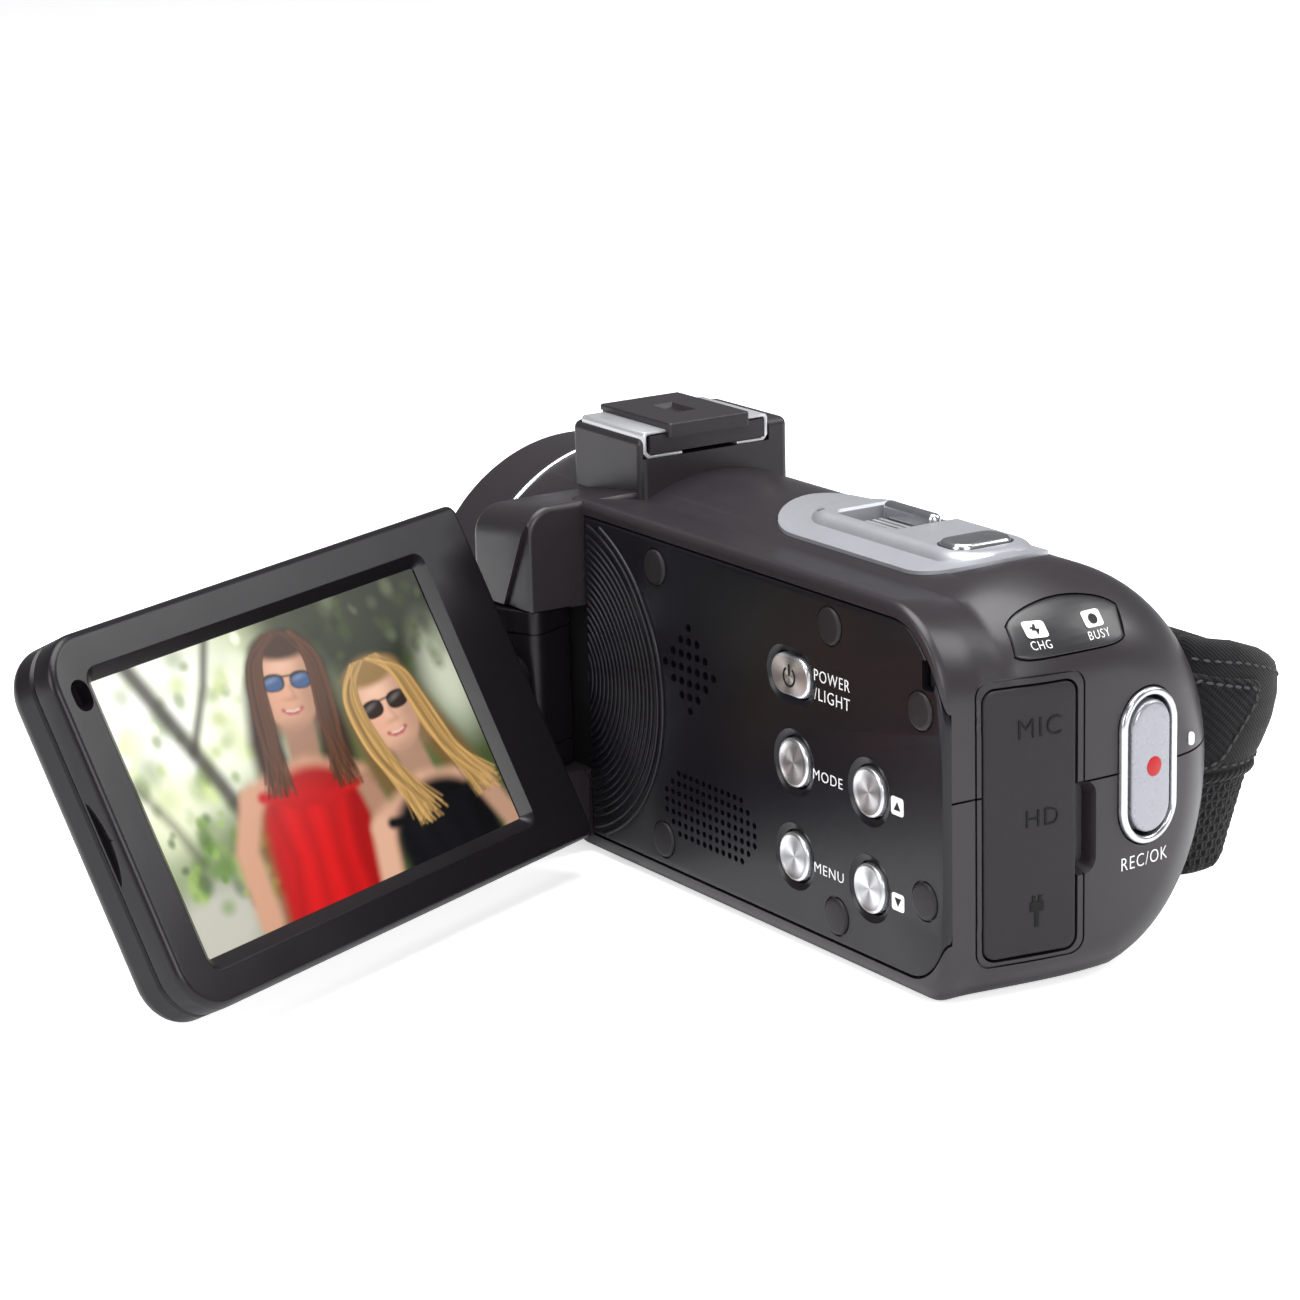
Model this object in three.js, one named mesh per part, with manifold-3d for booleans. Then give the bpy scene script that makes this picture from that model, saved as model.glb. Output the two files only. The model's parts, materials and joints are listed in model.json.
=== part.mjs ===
// Hand-held camcorder with a fold-out screen, modelled as separate pieces in millimetres.
// +Z is up, the lens looks along -Y, and the screen opens on the +X side.
// The origin is on the flat base, below the lens axis and halfway along the body.
import * as THREE from 'three';
import { mergeVertices } from 'three/addons/utils/BufferGeometryUtils.js';
import Module from 'manifold-3d';

const wasm = await Module();
wasm.setup();

// Driving dimensions
const gap = 0.3;
const wall = 2.0;
const axisZ = 26;
const tubeR = 26.5;
const sideX = 22;
const ridgeZ = 51;
const valleyX = 11.8;
const splitZ = 27.2;
const casingFrontY = -47.8;
const bayFrontY = -23;
const rearY = 61.7;
const rearBow = 130;
const hump = { frontY: -38, outerX: 31, topZ: 51, lowZ: 2, r: 6 };
const hood = { frontY: -62, backY: -48.6, frontR: 25.5, backR: 26.3, boreR: 21.5 };
const panel = { x: 20.7, frontY: -22.2, rearY: 59.6, lowZ: 3.1, topZ: 48.8 };
const shoe = { x: 0.9, half: 12.2, frontY: -40, backY: -22, topZ: 58.4, floorZ: 54.6 };
const plate = { half: 10.3, frontY: 0.8, backY: 46.2, topZ: 53.4 };
const hinge = { x: 26.8, y: -29.3, z: 26.65, lowZ: 12.3, highZ: 36.3, halfX: 4.2, halfY: 4.6, corner: 1.8 };
const screen = { from: 7, to: 92.8, low: -24.75, high: 25.05, face: -4.3, back: 4.7, corner: 6.5, innerCorner: 1.6 };
const display = { width: 66, height: 37.1, centre: 52.6, thick: 1.2, x: -3.0 };
const openAngle = 66.7;
const tiltAngle = 26.7;
const port = { x0: 2.9, x1: 15.9, z0: 5.6, z1: 40.6, r: 1.6, thick: 1.6, depth: 8 };
const record = { x: -9.0, z: 27.2, half: 5.05, tall: 10.3 };
const battery = { x0: -9, x1: 13, y0: 6, y1: 46, z0: 5.2, z1: 17.5 };
const door = { x0: -3.5, x1: 16, y0: 12, y1: 48, thick: 1.4 };
const tripod = { x: 8, y: -14, r: 5, boreR: 3.2, tall: 9 };
const strap = { lowZ: 5, highZ: 35.5, thick: 4.2 };

// Small solid-modelling helpers
function solidOf(geometry) {
  const bare = geometry.clone();
  bare.deleteAttribute('normal');
  bare.deleteAttribute('uv');
  const merged = mergeVertices(bare, 1e-4);
  return new wasm.Manifold(new wasm.Mesh({
    numProp: 3,
    vertProperties: new Float32Array(merged.attributes.position.array),
    triVerts: new Uint32Array(merged.index.array),
  }));
}

function geometryOf(solid) {
  const mesh = solid.getMesh();
  const geometry = new THREE.BufferGeometry();
  geometry.setAttribute('position', new THREE.BufferAttribute(new Float32Array(mesh.vertProperties), 3));
  geometry.setIndex(new THREE.BufferAttribute(new Uint32Array(mesh.triVerts), 1));
  geometry.computeVertexNormals();
  return geometry;
}

function cut(solid, ...tools) {
  return tools.reduce((left, tool) => left.subtract(tool), solid);
}

function join(solid, ...others) {
  return others.reduce((sum, other) => sum.add(other), solid);
}

function block(x0, x1, y0, y1, z0, z1) {
  const box = new THREE.BoxGeometry(x1 - x0, y1 - y0, z1 - z0);
  box.translate((x0 + x1) / 2, (y0 + y1) / 2, (z0 + z1) / 2);
  return solidOf(box);
}

// A shape drawn in (y, z) for axis x, (x, z) for axis y or (x, y) for axis z, swept from low to high
function sweep(shape, axis, low, high, curveSegments = 6) {
  const body = new THREE.ExtrudeGeometry(shape, { depth: high - low, bevelEnabled: false, curveSegments });
  const basis = new THREE.Matrix4();
  const [ex, ey, ez] = [new THREE.Vector3(1, 0, 0), new THREE.Vector3(0, 1, 0), new THREE.Vector3(0, 0, 1)];
  if (axis === 'x') basis.makeBasis(ey, ez, ex).setPosition(low, 0, 0);
  if (axis === 'y') basis.makeBasis(ex, ez, ey.clone().negate()).setPosition(0, high, 0);
  if (axis === 'z') basis.makeBasis(ex, ey, ez).setPosition(0, 0, low);
  return solidOf(body.applyMatrix4(basis));
}

function roundedRect(u0, u1, v0, v1, r) {
  const shape = new THREE.Shape();
  shape.absarc(u1 - r, v0 + r, r, -Math.PI / 2, 0);
  shape.absarc(u1 - r, v1 - r, r, 0, Math.PI / 2);
  shape.absarc(u0 + r, v1 - r, r, Math.PI / 2, Math.PI);
  shape.absarc(u0 + r, v0 + r, r, Math.PI, 1.5 * Math.PI);
  return shape;
}

function rod(axis, r, u, v, low, high, sides = 24) {
  const shape = new THREE.Shape();
  shape.absarc(u, v, r, 0, 2 * Math.PI);
  return sweep(shape, axis, low, high, sides / 2);
}

function turned(profile, sides = 48) {
  const points = profile.map(([r, y]) => new THREE.Vector2(r, y));
  return solidOf(new THREE.LatheGeometry(points, sides).translate(0, 0, axisZ));
}

// A closed skin over rings of equally many points, capped flat at each end
function skin(rings) {
  const count = rings[0].length;
  const flat = rings.flat();
  const middle = (ring) => ring.reduce((sum, p) => sum.add(p), new THREE.Vector3()).divideScalar(count);
  const points = [...flat, middle(rings[0]), middle(rings.at(-1))];
  const faces = [];
  for (let k = 0; k + 1 < rings.length; k += 1) {
    for (let i = 0; i < count; i += 1) {
      const a = k * count + i;
      const b = k * count + (i + 1) % count;
      faces.push(a, b, b + count, a, b + count, a + count);
    }
  }
  const last = (rings.length - 1) * count;
  for (let i = 0; i < count; i += 1) {
    const next = (i + 1) % count;
    faces.push(flat.length, next, i, flat.length + 1, last + i, last + next);
  }
  const geometry = new THREE.BufferGeometry().setFromPoints(points);
  geometry.setIndex(faces);
  const solid = solidOf(geometry);
  return solid.volume() < 0 ? solidOf(flipped(geometry)) : solid;
}

function flipped(geometry) {
  const index = Array.from(geometry.index.array);
  for (let i = 0; i < index.length; i += 3) [index[i], index[i + 1]] = [index[i + 1], index[i]];
  return geometry.clone().setIndex(index);
}

// Body section: a round tube joined to a flat side, drawn in (x, z) with all walls moved in by inset
function bodyOutline(inset) {
  const r = tubeR - inset;
  const left = sideX - inset;
  const points = [];
  const arc = (x, z, radius, from, to, steps) => {
    for (let k = 0; k <= steps; k += 1) {
      const t = from + (to - from) * k / steps;
      points.push([x + radius * Math.cos(t), z + radius * Math.sin(t)]);
    }
  };
  const lowAngle = Math.PI + Math.asin((axisZ - inset) / r);
  const highAngle = Math.acos(valleyX / r);
  arc(0, axisZ, r, highAngle, lowAngle, 26);
  arc(left - 3, inset + 3, 3, -Math.PI / 2, 0, 3);
  for (let k = 1; k < 8; k += 1) points.push([left, inset + 3 + (ridgeZ - 2 * inset - 4.2) * k / 8]);
  arc(left - 1.2, ridgeZ - inset - 1.2, 1.2, 0, Math.PI / 2, 2);
  return points;
}

// How far forward the rear rounding starts, and how far it pulls in, by direction from the lens axis
const rounding = [
  [-180, 49], [-135, 53], [-90, 56], [-50, 54], [-30, 58.3], [25, 58.3], [46, 48], [90, 46], [135, 46.5], [180, 49],
];
const rearScale = { up: 0.53, down: 0.77, right: 0.62, left: 0.95 };

function roundingStart(x, z) {
  const angle = THREE.MathUtils.radToDeg(Math.atan2(z - axisZ, x));
  const k = Math.max(1, rounding.findIndex(([a]) => a >= angle));
  const [[a0, y0], [a1, y1]] = [rounding[k - 1], rounding[k]];
  return y0 + (y1 - y0) * (angle - a0) / (a1 - a0);
}

function rearFace(x) {
  const bowed = rearY - (x + 1) ** 2 / rearBow;
  return x > 16.3 ? rearY - 17.3 ** 2 / rearBow - 0.03 * (x - 16.3) : bowed;
}

function bodyBlock(inset, frontY) {
  const outline = bodyOutline(inset);
  const rings = [outline.map(([x, z]) => new THREE.Vector3(x, frontY, z))];
  const steps = 7;
  for (let k = 0; k <= steps; k += 1) {
    const t = k / steps * Math.PI / 2;
    rings.push(outline.map(([x, z]) => {
      const fall = 1 - Math.cos(t);
      const kx = x < 0 ? 1 - (1 - rearScale.right) * fall : 1 - (1 - rearScale.left) * fall ** 3;
      const kz = 1 - (1 - (z > axisZ ? rearScale.up : rearScale.down)) * fall;
      const start = roundingStart(x, z) - inset;
      const y = start + (rearFace(x * kx) - inset - start) * Math.sin(t);
      return new THREE.Vector3(x * kx, y, axisZ + (z - axisZ) * kz);
    }));
  }
  const edge = rings.at(-1);
  for (const s of [0.7, 0.35, 0.02]) {
    rings.push(edge.map((p) => {
      const x = 2 + (p.x - 2) * s;
      return new THREE.Vector3(x, rearFace(x) - inset, 22 + (p.z - 22) * s);
    }));
  }
  return skin(rings);
}

function humpBlock(inset) {
  const ring = (y, topZ) => {
    const shape = roundedRect(2, hump.outerX - inset, hump.lowZ + inset, topZ - inset, hump.r - inset);
    return shape.getPoints(4).slice(0, -1).map((p) => new THREE.Vector3(p.x, y, p.y));
  };
  const whole = skin([ring(hump.frontY + inset, hump.topZ - 2), ring(bayFrontY - inset, hump.topZ)]);
  const plan = roundedRect(-40, hump.outerX - inset, hump.frontY + inset, bayFrontY - inset, 2.6 - inset / 2);
  return whole.intersect(sweep(plan, 'z', -5, 60, 4));
}

// Casings
function casings() {
  const tube = rod('y', tubeR, 0, axisZ, casingFrontY, -20, 64);
  const aboveFloor = block(-40, 40, -80, 80, 0, 80);
  const outer = join(bodyBlock(0, bayFrontY), tube, humpBlock(0)).intersect(aboveFloor);
  const innerTube = rod('y', tubeR - wall, 0, axisZ, casingFrontY - 1, -18, 64);
  const aboveBase = block(-40, 40, -80, 80, wall, 80);
  const inner = join(bodyBlock(wall, bayFrontY + wall), innerTube, humpBlock(wall)).intersect(aboveBase);
  const hingeCut = block(sideX - 1, 40, -35, bayFrontY + 0.5, hinge.lowZ, hinge.highZ);
  const hingeBox = block(sideX - 3, 30, -37, bayFrontY + 0.2, hinge.lowZ - wall, hinge.highZ + wall);
  const panelCut = sweep(panelShape(-gap), 'x', panel.x - 2, 30);
  const portCut = sweep(roundedRect(port.x0 - gap, port.x1 + gap, port.z0 - gap, port.z1 + gap, port.r), 'y', 50, 64);
  const recordCut = sweep(stadium(record.half + gap, record.tall + gap), 'y', 50, 64);
  const windowCut = sweep(windowShape(gap), 'y', 48, 64);
  const plateCut = sweep(plateShape(gap), 'z', 45, 60, 10);
  const doorCut = block(door.x0 - gap, door.x1 + gap, door.y0 - gap, door.y1 + gap, -1, wall + 1);
  const tripodCut = rod('z', tripod.r + gap, tripod.x, tripod.y, -1, wall + 1);
  const shell = cut(
    join(cut(outer, inner), hingeBox.intersect(outer)),
    hingeCut, panelCut, portCut, recordCut, windowCut, plateCut, doorCut, tripodCut,
  );
  const above = block(-60, 60, -80, 80, splitZ, 80);
  const below = block(-60, 60, -80, 80, -5, splitZ - gap);
  return { upper: shell.intersect(above), lower: shell.intersect(below) };
}

function panelShape(grow) {
  const shape = new THREE.Shape();
  const [y0, y1] = [panel.frontY + grow, panel.rearY - grow];
  const [z0, z1] = [panel.lowZ + grow, panel.topZ - grow];
  const [low, high] = [6.5, 10];
  shape.moveTo(y0, z1);
  shape.lineTo(y0, z0);
  shape.absarc(y1 - low, z0 + low, low, -Math.PI / 2, 0);
  shape.absarc(y1 - high, z1 - high, high, 0, Math.PI / 2);
  shape.closePath();
  return shape;
}

function stadium(half, tall, x = record.x, z = record.z) {
  return roundedRect(x - half, x + half, z - tall, z + tall, Math.min(half, tall) - 0.01);
}

function windowShape(grow) {
  const shape = new THREE.Shape();
  shape.moveTo(10.6 + grow, 43.4 - grow);
  shape.lineTo(12.2 + grow, 48.0);
  shape.quadraticCurveTo(3, 50.4 + grow, -6.0 - grow, 49.2 + grow);
  shape.lineTo(-8.6 - grow, 44.4 - grow);
  shape.closePath();
  return shape;
}

function plateShape(grow) {
  const half = plate.half + grow;
  return roundedRect(-half, half, plate.frontY - grow, plate.backY + grow, half - 0.01);
}

// Side panel inside the screen bay, with its buttons and bumpers
const keys = {
  mode_button: [27.5, 25.2],
  menu_button: [27.4, 12.4],
  up_button: [43.9, 25.2],
  down_button: [43.9, 12.4],
};
const powerKey = { y: 27.1, z: 36.8, half: 4.3, tall: 2.7 };
const keyR = 3.4;
const bumpers = [[-4.5, 45.1], [35.8, 45.2], [54.8, 38.3], [55.5, 13.8], [36.6, 6.7], [-3.8, 6.8]];
const bumperR = 2.45;

function sidePanel() {
  const holes = Object.values(keys).map(([y, z]) => rod('x', keyR + gap, y, z, 19, 24, 24));
  const power = sweep(pill(gap), 'x', 19, 24, 5);
  const latch = block(19, 24, 55.2, 57.7, 41.2, 45);
  const seats = bumpers.map(([y, z]) => rod('x', bumperR + gap, y, z, sideX - 0.6, 24, 20));
  return cut(sweep(panelShape(0), 'x', panel.x, sideX), ...holes, power, latch, ...seats);
}

function pill(grow) {
  const { y, z, half, tall } = powerKey;
  return roundedRect(y - half - grow, y + half + grow, z - tall - grow, z + tall + grow, tall - 0.01);
}

// Rear pieces
function portCover() {
  const steps = 6;
  const plan = new THREE.Shape();
  const at = (k) => port.x0 + (port.x1 - port.x0) * k / steps;
  plan.moveTo(at(0), rearFace(at(0)));
  for (let k = 0; k <= steps; k += 1) plan.lineTo(at(k), rearFace(at(k)) - port.thick);
  for (let k = steps; k > 0; k -= 1) plan.lineTo(at(k), rearFace(at(k)));
  const face = sweep(roundedRect(port.x0, port.x1, port.z0, port.z1, port.r), 'y', 50, 64);
  return sweep(plan, 'z', 0, 50).intersect(face);
}

function socket(width, tall, x, z) {
  const shape = roundedRect(x - width / 2, x + width / 2, z - tall / 2, z + tall / 2, 0.8);
  const inner = roundedRect(x - width / 2 + 0.7, x + width / 2 - 0.7, z - tall / 2 + 0.7, z + tall / 2 - 0.7, 0.4);
  return cut(sweep(shape, 'y', 52.5, 57.4, 3), sweep(inner, 'y', 53.6, 60, 3));
}

function indicatorWindow() {
  const layer = cut(bodyBlock(0, bayFrontY), bodyBlock(1.2, bayFrontY - 1));
  return layer.intersect(sweep(windowShape(0), 'y', 48, 64));
}

function recordPieces() {
  const ring = (half, tall, low, high) => sweep(stadium(half, tall, 0, 0), 'y', low, high, 6);
  const bezel = cut(ring(record.half, record.tall, -2.4, 0.6), ring(record.half - 1.2, record.tall - 1.2, -4, 2));
  const button = cut(ring(record.half - 1.6, record.tall - 1.6, -2.2, 0.9), rod('y', 1.6, 0, 0, 0.3, 2, 20));
  return { bezel, button, dot: rod('y', 1.3, 0, 0, 0.45, 0.95, 20) };
}

// Top pieces
const lever = { x: -3.4, half: 1.2, y0: 13.4, y1: 24.8, topZ: 54.6, flangeR: 25.2, flangeThick: 1.2 };
const photoKey = { x0: -4.2, x1: 5.2, y0: 35.2, y1: 41.0, topZ: 54.6, r: 2.2 };

function topPlate() {
  const slice = sweep(plateShape(0), 'z', 45, 60, 10);
  const skinLayer = cut(rod('y', 27, 0, axisZ, -2, 50, 64), rod('y', 25.6, 0, axisZ, -3, 51, 64)).intersect(slice);
  const raised = sweep(roundedRect(-6.6, 6.6, 7.5, 43.8, 5.5), 'z', 51.7, plate.topZ, 5);
  const leverHole = sweep(roundedRect(-7.6, 4.4, 12.6, 25.6, 1.4), 'z', 45, 60, 3);
  const { x0, x1, y0, y1, r } = photoKey;
  const keyHole = sweep(roundedRect(x0 - gap, x1 + gap, y0 - gap, y1 + gap, r), 'z', 45, 60, 4);
  return cut(join(skinLayer, raised), leverHole, keyHole);
}

function zoomLever() {
  const { x, half, y0, y1, topZ, flangeR, flangeThick } = lever;
  const ring = cut(rod('y', flangeR, 0, axisZ, 11, 27.2, 64), rod('y', flangeR - flangeThick, 0, axisZ, 10, 28, 64));
  const flange = ring.intersect(block(-8, 4.6, 10, 28, 40, 60));
  const thumb = sweep(roundedRect(x - half, x + half, y0, y1, 1.1), 'z', 50, topZ, 4);
  return join(flange, thumb);
}

// Accessory shoe with two metal rails and a slide-in cover
function shoePieces() {
  const { x, half, frontY, backY, topZ, floorZ } = shoe;
  const clearTube = rod('y', tubeR + gap, 0, axisZ, -60, 0, 64);
  const outer = sweep(roundedRect(x - half, x + half, frontY, backY, 1.6), 'z', 47, topZ, 3);
  const channel = block(x - 10.9 - gap, x + 10.9 + gap, frontY + 1.8, 0, floorZ, 70);
  const base = cut(outer, clearTube, humpBlock(-gap), bodyBlock(-gap, bayFrontY - gap), channel);
  const rail = (side) => {
    const shape = new THREE.Shape();
    const low = floorZ + gap;
    const outline = [
      [10.9, low], [10.9, 59.2], [6.4, 59.2], [6.4, 58.7], [10.4, 58.7], [10.4, low + 0.5], [4.8, low + 0.5], [4.8, low],
    ];
    outline.forEach(([u, z], k) => (k ? shape.lineTo(x + side * u, z) : shape.moveTo(x + side * u, z)));
    return sweep(shape, 'y', frontY + 2.1, backY - 0.2);
  };
  const slab = block(x - 9.8, x + 9.8, frontY + 2.4, backY + 0.2, floorZ + 1.1, 58.4);
  const top = block(x - 6.1, x + 6.1, frontY + 0.4, backY + 0.2, 58.2, 60.3);
  const frontRelief = block(x - 12, x + 12, frontY - 1, frontY + 2.4, 50, 58.7);
  const thumbSlot = block(x - 1.7, x + 1.7, -34, -28, 59.6, 61);
  return { base, railLeft: rail(1), railRight: rail(-1), cover: cut(join(slab, top), frontRelief, thumbSlot) };
}

// Lens and its surroundings
function lensPieces() {
  const { frontY, backY, frontR, backR, boreR } = hood;
  return {
    lens_hood: turned([
      [boreR, frontY + 0.6], [boreR + 0.6, frontY], [frontR - 0.6, frontY], [frontR, frontY + 0.6],
      [backR, backY - 0.4], [boreR, backY - 0.4], [boreR, frontY + 0.6],
    ]),
    chrome_ring: turned([[24, -48.7], [26.7, -48.7], [26.7, -48.1], [24, -48.1], [24, -48.7]]),
    lens_trim: turned([
      [21.2, -60.6], [21.2, -49.4], [14.2, -49.4], [14.2, -53.6], [16.8, -55], [20.6, -60.6], [21.2, -60.6],
    ]),
    front_glass: turned([[0, -54.4], [7, -53.9], [13.8, -52], [13.8, -50], [0, -50], [0, -54.4]], 36),
    lens_barrel: turned([[11.2, -48.8], [13.6, -48.8], [13.6, -20], [11.2, -20], [11.2, -48.8]], 36),
    rear_lens: turned([[0, -27.5], [6, -27], [10.8, -25.5], [10.8, -23.5], [0, -22.4], [0, -27.5]], 32),
  };
}

// Fold-out screen, drawn shut: +y runs from the hinge to the free end and -x faces the body
function screenPieces() {
  const outline = (inset) => {
    const [y0, y1, z0, z1] = [screen.from + inset, screen.to - inset, screen.low + inset, screen.high - inset];
    const [far, near] = [screen.corner - inset, Math.max(0.4, screen.innerCorner - inset)];
    const shape = new THREE.Shape();
    shape.absarc(y1 - far, z0 + far, far, -Math.PI / 2, 0);
    shape.absarc(y1 - far, z1 - far, far, 0, Math.PI / 2);
    shape.absarc(y0 + near, z1 - near, near, Math.PI / 2, Math.PI);
    shape.absarc(y0 + near, z0 + near, near, Math.PI, 1.5 * Math.PI);
    return shape;
  };
  const windowRing = (x, grow) => {
    const [a, b] = [display.width / 2 + grow, display.height / 2 + grow];
    const corners = [[-a, -b], [a, -b], [a, b], [-a, b]];
    return corners.map(([y, z]) => new THREE.Vector3(x, display.centre + y, z));
  };
  const opening = skin([windowRing(screen.face - 0.1, 1.3), windowRing(screen.face + 1.3, 0)]);
  const barrelBore = rod('y', 2.8, 0, 0, 5, 12, 24);
  const bezel = cut(
    sweep(outline(0), 'x', screen.face, -0.5, 4),
    sweep(outline(2.2), 'x', screen.face + 1.2, 0, 4),
    opening,
    barrelBore,
  );
  const domed = skin([[-0.2, 0], [3.2, 0], [4.2, 0.8], [screen.back, 2.6]].map(([x, inset]) => (
    outline(inset).getPoints(4).slice(0, -1).map((p) => new THREE.Vector3(x, p.x, p.y))
  )));
  const shell = cut(domed, sweep(outline(2.2), 'x', -1, 3.2, 4), barrelBore);
  const picture = block(
    display.x + 0.1, display.x + display.thick + 0.1,
    display.centre - 35, display.centre + 35, -20.4, 20.6,
  );
  return {
    lcd_back_shell: shell,
    lcd_bezel: bezel,
    display: picture,
    lcd_board: block(-1.3, -0.3, 20, 84, -18, 18),
  };
}

function hingeArm() {
  const { halfX, halfY, corner, lowZ, highZ, z } = hinge;
  const post = sweep(roundedRect(-halfX, halfX, -halfY, halfY, corner), 'z', lowZ + gap - z, highZ - gap - z, 5);
  return cut(post, rod('z', 1.5, 0, 0, -30, 30, 20));
}

function tiltBarrel() {
  return join(rod('y', 3.1, 0, 0, 4.9, 6.7, 24), rod('y', 2.4, 0, 0, 6.2, 15.5, 24));
}

// Hand strap: a padded band from the rear lug round to the front lug
const strapPath = [
  [-28.9, 45.9], [-35, 46.5], [-40.4, 44.5], [-43.6, 39], [-45, 25], [-44.8, 5], [-41.4, -13], [-35, -24.4], [-29.6, -29.4],
];

function strapPad() {
  const curve = new THREE.CatmullRomCurve3(strapPath.map(([x, y]) => new THREE.Vector3(x, y, 0)));
  const steps = 22;
  const rings = [];
  for (let k = 0; k <= steps; k += 1) {
    const point = curve.getPoint(k / steps);
    const along = curve.getTangent(k / steps);
    const end = Math.min(k, steps - k) / 3;
    const narrow = 1 - 0.42 * Math.max(0, 1 - end) ** 2;
    const half = (strap.highZ - strap.lowZ) / 2 * narrow;
    const shape = roundedRect(-strap.thick / 2, strap.thick / 2, -half, half, 1.6);
    const middle = (strap.highZ + strap.lowZ) / 2 + (1 - narrow) * 6;
    rings.push(shape.getPoints(2).slice(0, -1).map((p) => (
      new THREE.Vector3(point.x - along.y * p.x, point.y + along.x * p.x, middle + p.y)
    )));
  }
  return skin(rings);
}

function strapLug(y) {
  const frame = block(-31.2, -26.2, y - 1.3, y + 1.3, 15.6, 32.4);
  return cut(frame, block(-30.1, -28.1, y - 3, y + 3, 17, 31), rod('y', tubeR + gap, 0, axisZ, y - 4, y + 4, 64));
}

// Assembly
function material(color, roughness, metalness) {
  return new THREE.MeshStandardMaterial({ color, roughness, metalness });
}

const blackPlastic = () => material(0x2b2a2d, 0.45, 0);
const darkPlastic = () => material(0x1b1b1e, 0.4, 0);
const rubber = () => material(0x161618, 0.8, 0);
const silver = () => material(0xc4c5c8, 0.35, 0.6);
const steel = () => material(0xb8b8ba, 0.3, 1);
const board = () => material(0x1d5a36, 0.6, 0);
const glass = () => material(0x101418, 0.05, 0);
const fabric = () => material(0x1c1b1e, 0.95, 0);

function piece(name, solid, finish) {
  const mesh = new THREE.Mesh(geometryOf(solid), finish);
  mesh.name = name;
  return mesh;
}

const camcorder = new THREE.Group();
const { upper, lower } = casings();
const pinCut = rod('z', 1.55, hinge.x, hinge.y, 9, 40, 20);
camcorder.add(
  piece('upper_casing', cut(upper, pinCut), blackPlastic()),
  piece('lower_casing', cut(lower, pinCut), blackPlastic()),
  piece('side_panel', sidePanel(), darkPlastic()),
  piece('indicator_window', indicatorWindow(), glass()),
  piece('port_cover', portCover(), rubber()),
  piece('port_board', block(3.4, 15.4, 50.4, 52.2, 6.2, 40), board()),
  piece('mic_jack', cut(rod('y', 3, 9.4, 35.3, 52.5, 57.4), rod('y', 1.8, 9.4, 35.3, 53.6, 60)), steel()),
  piece('hd_socket', socket(4, 12, 9.4, 23.6), steel()),
  piece('usb_socket', socket(3.6, 8.4, 9.4, 11.9), steel()),
  piece('top_plate', topPlate(), silver()),
  piece('zoom_lever', zoomLever(), steel()),
  piece('photo_button', sweep(
    roundedRect(photoKey.x0, photoKey.x1, photoKey.y0, photoKey.y1, photoKey.r), 'z', 51, photoKey.topZ, 4,
  ), steel()),
);

for (const [name, [y, z]] of Object.entries(keys)) {
  camcorder.add(piece(name, rod('x', keyR, y, z, 19.6, 22.2, 28), steel()));
}
camcorder.add(piece('power_button', sweep(pill(0), 'x', 19.6, 22.2, 5), steel()));
bumpers.forEach(([y, z], k) => {
  camcorder.add(piece(`bumper_${k + 1}`, rod('x', bumperR, y, z, sideX - gap, sideX + 0.35, 20), rubber()));
});

const recordGroup = new THREE.Group();
const recordSlope = Math.atan(2 * (-1 - record.x) / rearBow);
recordGroup.position.set(record.x, rearFace(record.x), record.z);
recordGroup.rotation.z = recordSlope;
const { bezel: recordBezel, button: recordButton, dot: recordDot } = recordPieces();
recordGroup.add(
  piece('record_bezel', recordBezel, steel()),
  piece('record_button', recordButton, silver()),
  piece('record_mark', recordDot, material(0xc01a20, 0.4, 0)),
);
camcorder.add(recordGroup);

const { base: shoeBase, railLeft, railRight, cover: shoeCover } = shoePieces();
camcorder.add(
  piece('shoe_base', shoeBase, blackPlastic()),
  piece('shoe_rail_left', railLeft, steel()),
  piece('shoe_rail_right', railRight, steel()),
  piece('shoe_cover', shoeCover, blackPlastic()),
);

for (const [name, solid] of Object.entries(lensPieces())) {
  const clear = name === 'front_glass' || name === 'rear_lens';
  camcorder.add(piece(name, solid, clear ? glass() : name === 'chrome_ring' ? steel() : blackPlastic()));
}

camcorder.add(
  piece('sensor_board', block(-11, 11, -17, -15.4, 15, 37), board()),
  piece('main_board', block(-16.8, -15.2, -10, 44, 11, 41), board()),
  piece('speaker', rod('x', 7, 3.3, 32.4, 14, 18.4, 24), darkPlastic()),
  piece('microphone', rod('z', 2, 5.5, 5.5, 44, 48, 16), darkPlastic()),
  piece('battery', block(battery.x0, battery.x1, battery.y0, battery.y1, battery.z0, battery.z1), darkPlastic()),
  piece('battery_door', block(door.x0, door.x1, door.y0, door.y1, 0.1, 0.1 + door.thick), blackPlastic()),
  piece('tripod_socket', cut(
    rod('z', tripod.r, tripod.x, tripod.y, 0, tripod.tall, 32),
    rod('z', tripod.boreR, tripod.x, tripod.y, -1, tripod.tall - 1.5, 32),
  ), material(0xb59a5a, 0.4, 1)),
  piece('hinge_pin', rod('z', 1.25, hinge.x, hinge.y, hinge.lowZ - 1.8, hinge.highZ + 1.8, 20), steel()),
  piece('strap_pad', strapPad(), fabric()),
  piece('strap_lug_rear', strapLug(49.8), blackPlastic()),
  piece('strap_lug_front', strapLug(-33), blackPlastic()),
  piece('strap_tab_rear', block(-29.7, -28.6, 48.7, 53, 18, 30), fabric()),
  piece('strap_tab_front', block(-29.7, -28.6, -36.2, -29.6, 18, 30), fabric()),
);

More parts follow.
